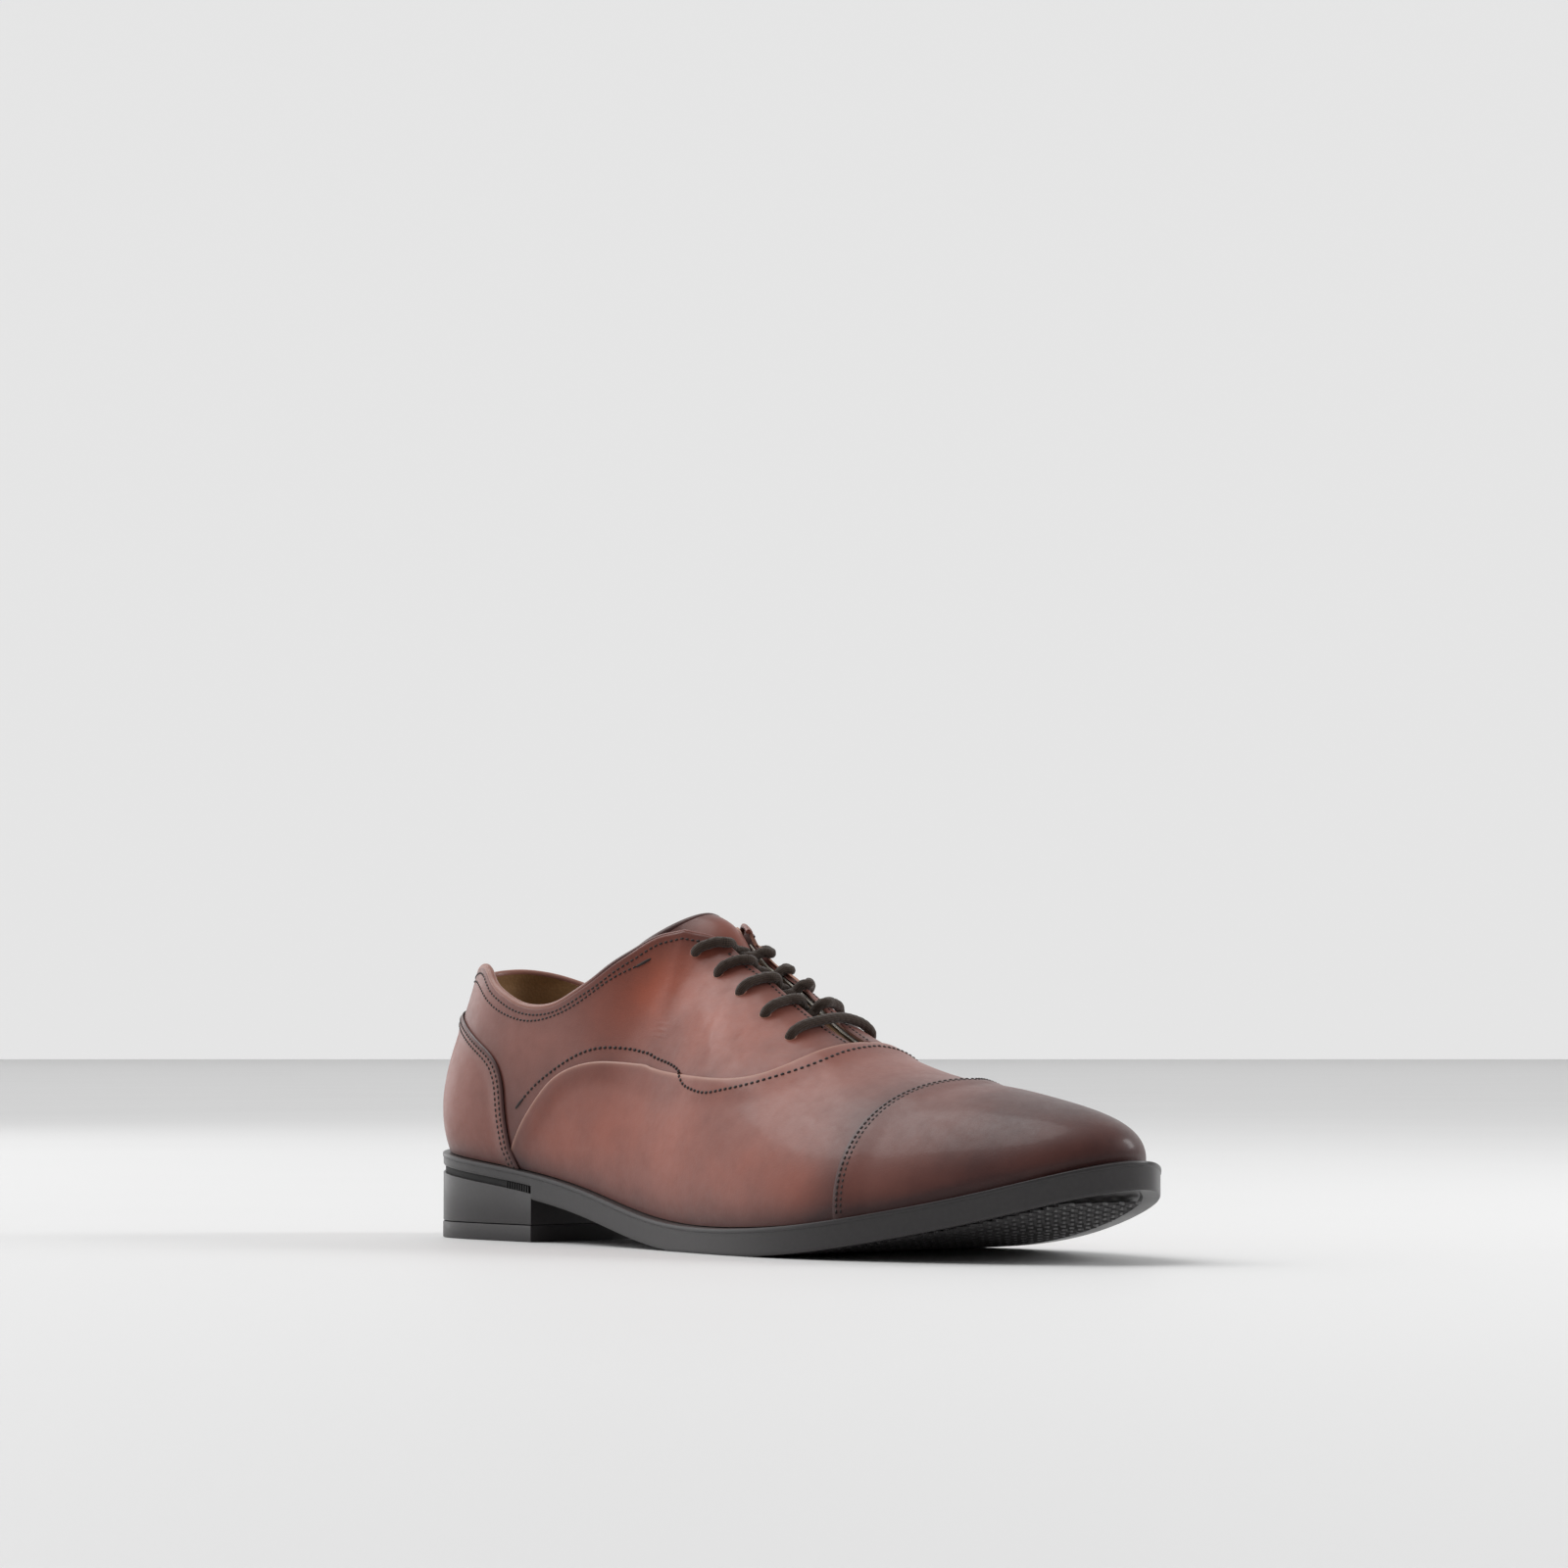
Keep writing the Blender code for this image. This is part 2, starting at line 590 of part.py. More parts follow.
def build_vamp():
    leather = look("leather", (0.28, 0.09, 0.055), 0.35)
    fabric = look("vamp_lining", (0.6, 0.5, 0.36), 0.8)
    rear = counter_line(-SEAM_GAP / 2)
    cap = cap_edge(np.linspace(0, 1, 8), -SEAM_GAP / 2)
    ridge = np.stack([np.linspace(station(193.5), cap[-1, 0], 6), np.ones(6)], 1)
    sides = []
    for side in (LATERAL_SIDE, MEDIAL_SIDE):
        seam = shifted(swoop_line(side), -SEAM_GAP / 2)
        seam[0] = crossing(rear, seam)
        top = np.concatenate([seam, ridge])
        base_x = np.interp(reach(top[:, 0]), [54, 181, 190, 193.5, 246], [58, 178, 188.5, 193, reach(cap[0, 0])])
        bottom = np.stack([station(base_x), np.zeros(len(top))], 1)
        bottom[0], bottom[-1], top[-1] = (rear[0, 0], 0), cap[0], cap[-1]
        left = np.linspace(bottom[0], top[0], 8)
        sides.append(on_side(coons(bottom, top, left, cap, 6.0), side))
    shell("vamp", sides, 0, LEATHER, leather)
    seam = path(VAMP_LINING_EDGE, 8)
    columns = np.linspace(1, 0, 16)[None, :]
    end = np.array([seam[-1, 0] - 0.01, 1.0])
    edge = np.concatenate([seam, end[None]])
    grid = np.stack([edge[:, :1] * columns, np.repeat(edge[:, 1:], 16, 1)], -1)
    shell("vamp_lining", both_sides(grid), DEEP_LINING_DEPTH, LINING, fabric)


def quarter_grid(side, rows=8):
    """The quarter between the counter cover and the swoop below, and the topline above."""
    rear = counter_line(-SEAM_GAP / 2)
    seam = shifted(swoop_line(side), SEAM_GAP / 2)
    rear[1] = crossing(rear, seam, 1)
    rear[-1, 0] = 1 - 0.001
    bottom = np.concatenate([rear[:0:-1], seam[1:]])
    line = path(TOPLINE[side], 400)
    over_corner = 57.0
    share = np.concatenate([np.interp(reach(rear[:0:-1, 0]), [0, 54], [0, over_corner]),
                            np.linspace(over_corner, TOPLINE[side][-1][0], len(seam))[1:]])
    top = line[np.searchsorted(reach(line[:, 0]), share).clip(0, 399)]
    left = np.linspace(bottom[0], (bottom[0, 0], top[0, 1]), rows)
    right = facing_edge(side, rows, float(reach(bottom[-1, 0])))
    right[0] = bottom[-1]
    top[0], top[-1] = left[-1], right[-1]
    return coons(bottom, top, left, right)


def build_quarters():
    leather = look("leather", (0.28, 0.09, 0.055), 0.35)
    for side, name in ((LATERAL_SIDE, "quarter_lateral"), (MEDIAL_SIDE, "quarter_medial")):
        piece = shell(name, [on_side(quarter_grid(side), side)], 0, LEATHER, leather)
        punch(piece, side, HOLE / 2)


def build_heel():
    leather = look("leather", (0.28, 0.09, 0.055), 0.35)
    stiff = look("heel_stiffener", (0.55, 0.5, 0.42), 0.8)
    lining = look("lining", (0.42, 0.23, 0.1), 0.55)
    edge = counter_line(SEAM_GAP / 2)
    left, top = edge[:6], edge[5:]
    top[-1, 0] = 1
    left[0, 1] = 0
    bottom = np.stack([np.linspace(left[0, 0], 1, len(top)), np.zeros(len(top))], 1)
    right = np.linspace(bottom[-1], top[-1], len(left))
    shell("counter_cover", around_back(coons(bottom, top, left, right)), 0, LEATHER, leather)
    u = np.linspace(float(station(76)), 1, 10)
    high = 0.34 + 0.22 * smooth(76, 30, reach(u))
    grid = np.linspace(0.02, 1, 5)[:, None, None] * np.stack([np.zeros(10), high], 1)[None]
    grid[..., 0] = u
    shell("heel_stiffener", around_back(grid), PUFF_DEPTH, PUFF, stiff)
    u = np.linspace(float(station(QUARTER_LINING_START - 0.6)), 1, 15)
    grids = []
    for side in (LATERAL_SIDE, MEDIAL_SIDE):
        line = path(TOPLINE[side], 80)
        high = np.interp(u, line[::-1, 0], line[::-1, 1])
        grid = np.linspace(0, 1, 8)[:, None, None] * np.stack([np.zeros(15), high], 1)[None]
        grid[..., 0] = u
        grids.append(on_side(grid[:, ::-1], side))
    shell("heel_lining", grids, lining_depth, LINING, lining)


def around_back(half):
    """A half grid from the side to the heel back, and its mirror image."""
    return [on_side(half[:, ::-1], LATERAL_SIDE), on_side(half[:, ::-1], MEDIAL_SIDE)]


def lining_depth(u, t):
    """The lining lies close to the leather at the topline and behind the stiffener at the heel."""
    x = reach(u)
    deep = DEEP_LINING_DEPTH + (LINING_DEPTH - DEEP_LINING_DEPTH) * smooth(84, 100, x)
    edge = topline_share(np.clip(x, 0, 131))
    close = smooth(edge - 0.16, edge - 0.03, t) * smooth(118, 106, x)
    return deep + (COLLAR_LINING_DEPTH - deep) * close


def build_quarter_linings():
    lining = look("lining", (0.42, 0.23, 0.1), 0.55)
    canvas = look("facing_stay", (0.8, 0.78, 0.72), 0.8)
    start = QUARTER_LINING_START
    seam = shifted(path(VAMP_LINING_EDGE, 9), SEAM_GAP)
    foot = np.stack([station(np.linspace(start, reach(seam[0, 0]), 9)), np.zeros(9)], 1)
    seam[0, 1] = 0
    for side, word in ((LATERAL_SIDE, "lateral"), (MEDIAL_SIDE, "medial")):
        bottom = np.concatenate([foot[:-1], seam])
        right = facing_edge(side, 8, reach(seam[-1, 0]))
        bottom[-1] = right[0]
        line = path(TOPLINE[side], 80)
        first = int(np.argmin(np.abs(reach(line[:, 0]) - start)))
        top = line[np.linspace(first, 79, len(bottom)).round().astype(int)]
        top[0, 0], top[-1] = bottom[0, 0], right[-1]
        left = np.linspace(bottom[0], top[0], 8)
        grid = coons(bottom, top, left, right)
        piece = shell("quarter_lining_" + word, [on_side(grid, side)], lining_depth, LINING, lining)
        punch(piece, side, HOLE / 2)
        inner = facing_edge(side, 8, 186, 0.6, TOPLINE[side][-1][0] + 1)
        outer = np.stack([inner[:, 0], inner[:, 1] - STAY_WIDTH], 1)
        strip = coons(outer[::-1], inner[::-1], np.linspace(outer[-1], inner[-1], 4),
                      np.linspace(outer[0], inner[0], 4))
        stay = shell("facing_stay_" + word, [on_side(strip, side)], STAY_DEPTH, STAY, canvas)
        punch(stay, side, EYELET_RIM / 2 + GAP)


def ridge_place(x, depth):
    """A point under the middle of the instep; the ridge runs on past the open top."""
    x, depth = np.asarray(x, float), np.asarray(depth, float)
    slope = (ridge_line(x + 1) - ridge_line(x - 1)) / 2
    normal = np.stack([-slope, np.zeros(x.shape), np.ones(x.shape)], -1)
    normal /= np.linalg.norm(normal, axis=-1, keepdims=True)
    return np.stack([x, ridge_side(x), ridge_line(x)], -1) - normal * depth[..., None]


def ridge_line(x):
    return crest(np.clip(x, 114.5, 262)) + ridge_curve(x) - ridge_curve(np.clip(x, 114.5, 262))


def build_tongue(tongue):
    """Leather and lining that run from under the vamp to just above the topline."""
    leather = look("leather", (0.28, 0.09, 0.055), 0.35)
    lining = look("lining", (0.42, 0.23, 0.1), 0.55)
    rows = 13
    share = np.linspace(0, 1, rows)
    middle_x = TONGUE_ROOT - 4 - (TONGUE_ROOT - 4 - 110) * share
    side_x = 186 - (186 - 100) * share
    side_t = np.interp(side_x, [100, 106, 116, 140, 186], [0.86, 0.77, 0.66, 0.58, 0.7])
    peak_t = np.interp(side_x, [100, 112], [0.965, 0.92])
    columns = [ridge_place(middle_x, TONGUE_DEPTH + tongue_sit(middle_x))]
    for part in (0.5, 1.0):
        x = middle_x + (side_x - middle_x) * part
        t = peak_t + (side_t - peak_t) * part
        for side in (LATERAL_SIDE, MEDIAL_SIDE):
            place = beneath(side * station(x), t, tongue_depth(x))
            columns.insert(0 if side == LATERAL_SIDE else len(columns), place)
    curves = [[spline(list(zip((0, 1, 2, 3, 4), [column[row][axis] for column in columns])))
               for axis in range(3)] for row in range(rows)]
    across = np.linspace(0, 4, 11)
    points = np.array([[curve(across) for curve in row] for row in curves]).transpose(0, 2, 1)
    normals = np.cross(np.gradient(points, axis=1), np.gradient(points, axis=0))
    normals *= np.sign(normals[rows // 2, 5, 2]) / np.linalg.norm(normals, axis=-1, keepdims=True)
    depths = np.zeros(points.shape[:2])
    sheet("tongue", [(points, normals, depths)], 0.0, TONGUE, leather, tongue)
    sheet("tongue_lining", [(points, normals, depths)], TONGUE + 2 * GAP, TONGUE_LINING, lining, tongue)


def tongue_depth(x):
    """Under the lace between the facings, and close behind the quarters at its top."""
    return TONGUE_TOP_DEPTH + (TONGUE_DEPTH + 1.4 - TONGUE_TOP_DEPTH) * smooth(100, 112, x)


# ---------------------------------------------------------------- eyelets and lace

def eyelet_places():
    return path(EYELET_LINE, EYELET_ROWS)


def normal_at(u, t):
    step = 0.5
    way = beneath(u, t, -step) - beneath(u, t, step)
    return way / np.linalg.norm(way)


def turned(bm, point, way):
    """Moves a bmesh from the origin to a point, with its +Z along way."""
    turn = Vector((0, 0, 1)).rotation_difference(Vector(way)).to_matrix().to_4x4()
    bmesh.ops.transform(bm, matrix=Matrix.Translation(Vector(point)) @ turn, verts=bm.verts)


def punch(piece, side, radius):
    """Cuts the lace holes through a facing."""
    bm = bmesh.new()
    for u, t in eyelet_places():
        way = normal_at(side * u, t)
        pin = bmesh.new()
        bmesh.ops.create_cone(pin, cap_ends=True, segments=10, radius1=radius, radius2=radius, depth=14)
        turned(pin, beneath(side * u, t, 1.6), way)
        mesh = bpy.data.meshes.new("pin")
        pin.to_mesh(mesh)
        pin.free()
        bm.from_mesh(mesh)
        bpy.data.meshes.remove(mesh)
    cutter = add_object("cutter_" + piece.name, bm, look("cutter", (1, 0, 0), 1))
    cutter.hide_render = True
    cutter.display_type = "WIRE"
    cut = piece.modifiers.new("holes", "BOOLEAN")
    cut.operation = "DIFFERENCE"
    cut.solver = "EXACT"
    cut.object = cutter


def build_eyelets():
    brass = look("eyelet", (0.35, 0.2, 0.1), 0.35, 1.0)
    for side, word in ((LATERAL_SIDE, "lateral"), (MEDIAL_SIDE, "medial")):
        for number, (u, t) in enumerate(eyelet_places(), 1):
            bm = bmesh.new()
            inner, outer, half = HOLE / 2, EYELET_RIM / 2, (STAY - 0.1) / 2
            corners = ((inner, -half), (outer, -half), (outer, half), (inner, half))
            verts = [bm.verts.new((r, 0, z)) for r, z in corners]
            loop = [bm.edges.new((verts[i], verts[(i + 1) % 4])) for i in range(4)]
            bmesh.ops.spin(bm, geom=verts + loop, axis=(0, 0, 1), cent=(0, 0, 0), dvec=(0, 0, 0),
                           angle=2 * math.pi, steps=10, use_merge=True)
            bmesh.ops.remove_doubles(bm, verts=bm.verts, dist=0.01)
            bmesh.ops.recalc_face_normals(bm, faces=bm.faces)
            turned(bm, beneath(side * u, t, STAY_DEPTH + STAY / 2), normal_at(side * u, t))
            add_object(f"eyelet_{word}_{number}", bm, brass)


def lace_row(row):
    """Where a row of the lace crosses the gap: its station, and each edge's height share there."""
    u = eyelet_places()[row][0]
    x = reach(u) + 9.5 - 6.5 * row / (EYELET_ROWS - 1)
    shares = {side: float(share_at_width(x, side, facing_width[side](x) * FACING_GAP / 15.0))
              for side in (LATERAL_SIDE, MEDIAL_SIDE)}
    return float(station(x)), shares


def across_gap(row, own):
    """Out of this side's eyelet, over its edge, and down under the other facing."""
    other = -own
    u, shares = lace_row(row)
    hole_u, hole_t = eyelet_places()[row]
    above = -(LACE / 2 + 0.6)
    slide = station(reach(u) + 1.5 * own) - u
    u = u + slide
    own_t, other_t = shares[own], shares[other]
    way = upper(other * u, other_t) - upper(own * u, own_t)
    way /= np.linalg.norm(way)
    middle = (hole_u + (u - hole_u) * 0.5, hole_t + (own_t - hole_t) * 0.5)
    return [beneath(own * middle[0], middle[1], above),
            beneath(own * u, own_t - 0.02, above - 0.7),
            beneath(own * u, own_t, above - 0.6) + way * 1.4,
            beneath(own * u, own_t, 0.6) + way * 2.9,
            beneath(other * u, other_t, 3.5) - way * 2.4,
            beneath(other * u, other_t, LACE_DEPTH - 0.3) - way * 1.1,
            beneath(other * u, other_t - 0.045, LACE_DEPTH + 0.3)], (u, other_t - 0.045)


def through_hole(row, side):
    """Points of the lace in an eyelet, from the inside out."""
    u, t = eyelet_places()[row]
    return [beneath(side * u, t, depth) for depth in (LACE_DEPTH, 1.8, -(LACE / 2 + 0.6))]


def lace_half(side):
    """From the bar's eyelet up to the tucked end, in order."""
    places = eyelet_places()
    points = through_hole(EYELET_ROWS - 1, side)[::-1]
    start = places[EYELET_ROWS - 1]
    at = side
    for row in range(EYELET_ROWS - 2, -1, -1):
        halfway = (np.asarray(start) + places[row]) / 2
        points.append(beneath(at * halfway[0], halfway[1], LACE_DEPTH + 0.3))
        points += through_hole(row, at)
        over, start = across_gap(row, at)
        points += over
        at = -at
    top_u, top_t = places[0]
    for x, t in ((reach(start[0]) - 9, top_t - 0.06), (117, top_t - 0.14), (114.5, top_t - 0.24)):
        points.append(beneath(at * station(x), t, LACE_DEPTH))
    return points


def lace_route():
    """Points of the lace in millimetres, from one tucked end to the other.

    The bar lies across the lowest row. Each half then climbs inside to the next row, comes out,
    crosses the gap and dives under the other facing, up to the tucked end under the top row.
    """
    lateral, medial = lace_half(LATERAL_SIDE), lace_half(MEDIAL_SIDE)
    u, shares = lace_row(EYELET_ROWS - 1)
    hole_u, hole_t = eyelet_places()[EYELET_ROWS - 1]
    above = -(LACE / 2 + 0.6)
    bar = []
    for side in (LATERAL_SIDE, MEDIAL_SIDE):
        ends = [beneath(side * (hole_u + (u - hole_u) * part), hole_t + (shares[side] - hole_t) * part,
                        above) for part in (0.45, 0.95)]
        bar += ends if side == LATERAL_SIDE else ends[::-1]
    return np.array(lateral[::-1] + bar + medial)


def smooth_route(points, spacing):
    """Evenly spaced points on one smooth curve through the route's points."""
    along = np.concatenate([[0], np.cumsum(np.linalg.norm(np.diff(points, axis=0), axis=1))])
    curves = [spline(list(zip(along, points[:, axis]))) for axis in range(3)]
    w = np.linspace(0, along[-1], int(along[-1] / spacing) + 1)
    return np.stack([curve(w) for curve in curves], 1)


def tube(name, points, radius, material):
    curve = bpy.data.curves.new(name, "CURVE")
    curve.dimensions = "3D"
    curve.bevel_depth = radius * MM
    curve.bevel_resolution = 2
    curve.use_fill_caps = True
    curve.materials.append(material)
    line = curve.splines.new("POLY")
    line.points.add(len(points) - 1)
    for place, point in zip(line.points, points):
        place.co = (*((point - (LENGTH / 2, 0, 0)) * MM), 1)
    piece = bpy.data.objects.new(name, curve)
    bpy.context.scene.collection.objects.link(piece)
    return piece


def build_lace():
    cord = look("lace", (0.045, 0.03, 0.022), 0.8)
    tip = look("aglet", (0.03, 0.02, 0.015), 0.3)
    route = smooth_route(lace_route(), 1.5 * LACE)
    tube("lace", route, LACE / 2, cord)
    for word, end, before in (("lateral", route[0], route[2]), ("medial", route[-1], route[-3])):
        way = (end - before) / np.linalg.norm(end - before)
        start = end + way * GAP
        tube("aglet_" + word, [start, start + way * AGLET_LENGTH], LACE / 2 + 0.1, tip)


def main():
    for piece in list(bpy.data.objects):
        bpy.data.objects.remove(piece)
    toe = bpy.data.objects.new("toe", None)
    toe.location = ((FLEX_LINE - LENGTH / 2) * MM, 0, float(rim_top(FLEX_LINE)) * MM)
    tongue = bpy.data.objects.new("tongue_hinge", None)
    root = ridge_place(TONGUE_ROOT, TONGUE_DEPTH)
    tongue.location = ((root[0] - LENGTH / 2) * MM, 0, root[2] * MM)
    for empty in (toe, tongue):
        bpy.context.scene.collection.objects.link(empty)
    build_sole(toe)
    build_inside()
    build_cap(toe)
    build_vamp()
    build_quarters()
    build_heel()
    build_quarter_linings()
    build_tongue(tongue)
    build_eyelets()
    build_lace()


main()
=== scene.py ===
"""Leather oxford shoe: leather panels, stitching, lace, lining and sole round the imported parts.

The shape functions work in millimetres from the heel back, as the parts were designed, and
placed() carries their points into the frame.
"""
import math

import bpy
import numpy as np
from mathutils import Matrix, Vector


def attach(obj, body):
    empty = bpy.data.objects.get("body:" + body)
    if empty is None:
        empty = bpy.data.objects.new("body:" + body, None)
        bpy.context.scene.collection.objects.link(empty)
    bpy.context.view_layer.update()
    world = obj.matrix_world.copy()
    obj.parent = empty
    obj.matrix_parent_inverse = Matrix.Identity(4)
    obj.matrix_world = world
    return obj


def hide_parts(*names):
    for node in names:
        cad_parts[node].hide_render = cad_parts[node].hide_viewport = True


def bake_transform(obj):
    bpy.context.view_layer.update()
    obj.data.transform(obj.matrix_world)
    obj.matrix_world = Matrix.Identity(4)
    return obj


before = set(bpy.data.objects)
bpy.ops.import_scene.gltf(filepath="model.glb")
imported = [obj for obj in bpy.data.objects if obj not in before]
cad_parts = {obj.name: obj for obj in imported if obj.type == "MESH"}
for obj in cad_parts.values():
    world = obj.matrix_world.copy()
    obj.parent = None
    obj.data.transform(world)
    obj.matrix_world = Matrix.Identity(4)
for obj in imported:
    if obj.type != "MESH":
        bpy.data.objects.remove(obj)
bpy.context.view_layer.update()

bl_info = {
    "name": "Leather Oxford Shoe",
    "version": (1, 0, 0),
    "blender": (4, 5, 0),
    "location": "View3D > Sidebar > Shoe",
    "description": "Builds the leather, stitching, lace, lining and sole of an oxford shoe",
    "category": "Object",
}

MM = 0.001
LENGTH = 302.0
LATERAL_SIDE = -1
MEDIAL_SIDE = 1
BOTH = (LATERAL_SIDE, MEDIAL_SIDE)
SIDES = ((LATERAL_SIDE, "lateral"), (MEDIAL_SIDE, "medial"))

# Layers of the upper, in millimetres below its outer face
LEATHER = 1.2
LINING = 0.9
LINING_DEPTH = 3.4
COLLAR_LINING_DEPTH = 1.7
DEEP_LINING_DEPTH = 3.8
LACE_DEPTH = 6.2
TONGUE_DEPTH = 8.2
TONGUE_TOP_DEPTH = 3.4
TONGUE = 1.1
TONGUE_LINING = 2.0
TONGUE_ROOT = 190.0  # the tongue reaches from here up to TONGUE_TOP
TONGUE_TOP = 112.0

# Sole
SOLE_EDGE = 8.0
WELT = 2.2
HEEL_LENGTH = 66.0
HEEL_SEAT = 4.2
BAND = 2.2
TOP_PIECE = 5.4
INSOLE = 2.0
SOCK = 1.0
HEEL_PAD = 2.0
GAP = 0.3

LATERAL = [(298, 12), (288, 23), (272, 32.3), (250, 42), (222, 50), (195, 51.5), (165, 47.5),
           (130, 40.5), (95, 35.5), (60, 33), (30, 32), (9, 24)]
MEDIAL = [(298, 12), (288, 22.5), (272, 31.5), (250, 40.8), (225, 49), (205, 51), (175, 44.5),
          (140, 32.5), (105, 28), (60, 31), (30, 31), (9, 23)]
RIM = [(0, 21), (35, 17.3), (72, 13), (95, 9), (125, 2.8), (155, 0), (185, 0.3), (210, 2),
       (240, 6.3), (270, 12.6), (302, 21.5)]
INSET = [(0, 2.5), (60, 2.5), (110, 3), (160, 4), (200, 4.5), (260, 4.5), (302, 5)]
RIDGE = [(262, 47.5), (245, 50.3), (225, 52.6), (200, 58.2), (175, 68), (155, 78.8), (140, 88),
         (125, 98), (110, 108)]
RIDGE_SIDE = [(262, 1), (230, 1.2), (200, 1.2), (184, 1.3), (168, 1.8), (153, 3), (125, 4.2),
              (110, 3.4), (90, 1.5), (60, 0), (10, 0)]
RIDGE_REACH = [(302, 259), (292, 257), (275, 250), (250, 235), (220, 212), (190, 185),
               (160, 155), (135, 130), (118, 114), (100, 99), (70, 72), (40, 42), (20, 24),
               (8, 14), (0, 10)]
CONE = [(114, 105.5), (60, 102), (10, 96)]
CONE_HALF = [(142, 0), (130, 5), (118, 12), (100, 20), (70, 25), (40, 24.5), (20, 18.5),
             (8, 11), (0, 0)]
BULGE = [(302, 4), (260, 2.5), (220, 3), (180, 4), (140, 5), (100, 4.6), (60, 5), (30, 7.3), (0, 9)]
RISE = [(302, 12), (280, 13), (240, 19), (200, 24), (160, 30), (120, 32), (80, 28), (40, 24),
        (0, 24)]
SHOULDER = [(302, 0.62), (250, 0.6), (220, 0.58), (190, 0.57), (160, 0.6), (130, 0.62),
            (118, 0.6)]

THROAT = 190.0  # where the facings meet the vamp
COUNTER_CORNER = 46.5  # where the counter cover's edge turns from upright to level
QUARTER_CORNER = 57.0  # the point of a quarter's topline above that corner
LINING_SEAM = 61.0  # where the heel lining meets the quarter linings

# Stitch radii, in millimetres
COUNTER_THREAD, CAP_THREAD, SWOOP_THREAD, COLLAR_THREAD, TACK_THREAD = 0.42, 0.46, 0.52, 0.38, 0.5
TACK_LENGTH = 6.5
STITCH_ROWS = (1.5, 3.1)  # distances of a double row from its edge

# Seams as (distance from the heel back, height share from the sole to the ridge)
COUNTER_EDGE = [(57.5, 0), (54, 0.085), (51.7, 0.26), (50, 0.367), (46, 0.45), (34.5, 0.54),
                (12, 0.668), (0, 0.7)]
SWOOP = [(54, 0.085), (59, 0.185), (67, 0.305), (76, 0.4), (86, 0.45), (98, 0.476), (110, 0.474),
         (121.5, 0.449), (135.5, 0.434), (148, 0.445), (160.5, 0.481), (173, 0.551), (181, 0.645),
         (186.2, 0.773), (189, 0.87), (191, 0.96), (191.8, 1)]
SWOOP_STITCHES = [(60.5, 0.3), (65.6, 0.355), (75, 0.43), (83.8, 0.485), (91.1, 0.515),
                  (100.2, 0.53), (109.8, 0.522), (119.5, 0.488), (129.8, 0.462),
                  (137.4, 0.434), (141, 0.41), (146.7, 0.402), (153.4, 0.408),
                  (160.4, 0.437), (169.1, 0.485), (179.5, 0.567),
                  (187.7, 0.67), (191.3, 0.753), (193.5, 0.853), (195.2, 0.958), (195.5, 1)]
COLLAR = [(0, 0.868), (12, 0.865), (27.8, 0.853), (34.8, 0.793), (44, 0.733), (53.7, 0.687),
          (62.5, 0.672), (70.6, 0.685), (78.9, 0.728), (85.7, 0.77), (92.6, 0.821), (101.3, 0.874)]
INNER_COLLAR = [(0, 0.868), (6, 0.869), (12, 0.852), (17, 0.829), (23, 0.796), (34.8, 0.735),
                (44, 0.692), (53.7, 0.672), (62.5, 0.666), (70.6, 0.68), (78.9, 0.722),
                (85.7, 0.766), (92.6, 0.818), (101.3, 0.874)]
TOPLINE = {LATERAL_SIDE: COLLAR + [(110.5, 0.914), (118.5, 0.918), (124.5, 0.935), (131, 0.947)],
           MEDIAL_SIDE: INNER_COLLAR + [(110.5, 0.914), (118.5, 0.945), (124.5, 0.975), (127.5, 0.985)]}
COLLAR_STITCHES = [(0, 0.82), (12, 0.82), (19.9, 0.81), (34.3, 0.72), (43, 0.67), (50.5, 0.64),
                   (59.1, 0.622), (67.9, 0.632), (78.3, 0.672), (87.3, 0.73), (95.6, 0.785),
                   (103.3, 0.82)]
COLLAR_TACK = [(102.5, 0.815), (108.5, 0.842)]
SWOOP_TACK = [(56.5, 0.25), (61, 0.305)]
FACING = {LATERAL_SIDE: [(127, 7), (153, 6.2), (170, 5.6), (190, 4.8)],
          MEDIAL_SIDE: [(127.5, 6.8), (140, 5.8), (155, 4.1), (170, 1.9), (190, 0.7)]}
VAMP_LINING_EDGE = [(152, 0), (154, 0.2), (160, 0.4), (172, 0.58), (183, 0.76), (189, 0.9)]
EYELET_LINE = [(123.2, 0.856), (135, 0.796), (148, 0.774), (160.6, 0.772), (173.8, 0.764)]
EYELET_ROWS = 5
TONGUE_SIT = [(190, 0), (150, 0.6), (138, 0), (130, -3.8), (123, -6.6), (117, -6.8), (112, -5.2)]
CAP_START = 223.0
CAP_SWEEP = 23.0
WARM_LINE = [(112, 0.72), (128, 0.66), (150, 0.63), (172, 0.66)]

SPREAD = np.array([-260.0, 70.0])  # millimetres on the leather for one step of (u, t)

# The stage, in metres and radians. Each soft box has a name, place, aim, size and power
CAMERA_PLACE = (1.0785, -0.9689, 0.0614)
CAMERA_HEADING = Vector((-0.7443, 0.6679, 0))
CAMERA_PITCH = math.radians(3.242)
SENSOR_WIDTH = 36
LENS = 107.35
SOFT_BOXES = (("left_box", (-1.7, -0.5, 0.7), (-0.1, 0, 0.05), (2.4, 2.2), 19),
              ("toe_box", (1.0, 1.3, 0.9), (0.08, 0, 0.04), (0.6, 0.9), 15))
SUN_WAY = (0.55, 0.25, -1.0)
SUN_STRENGTH = 1.9
SUN_ANGLE = math.radians(50)
SKY_COLOUR = (0.8, 0.8, 0.8, 1)
SKY_STRENGTH = 0.35
FLOOR_COLOUR = (0.72, 0.72, 0.72, 1)
FLOOR_SIZE = 110
WALL_COLOUR = (0.1, 0.1, 0.1, 1)
WALL_GLOW = 0.74
WALL_SIZE = 60
WALL_DISTANCE = 26
WALL_HEIGHT = 9.9


# ---------------------------------------------------------------- curves

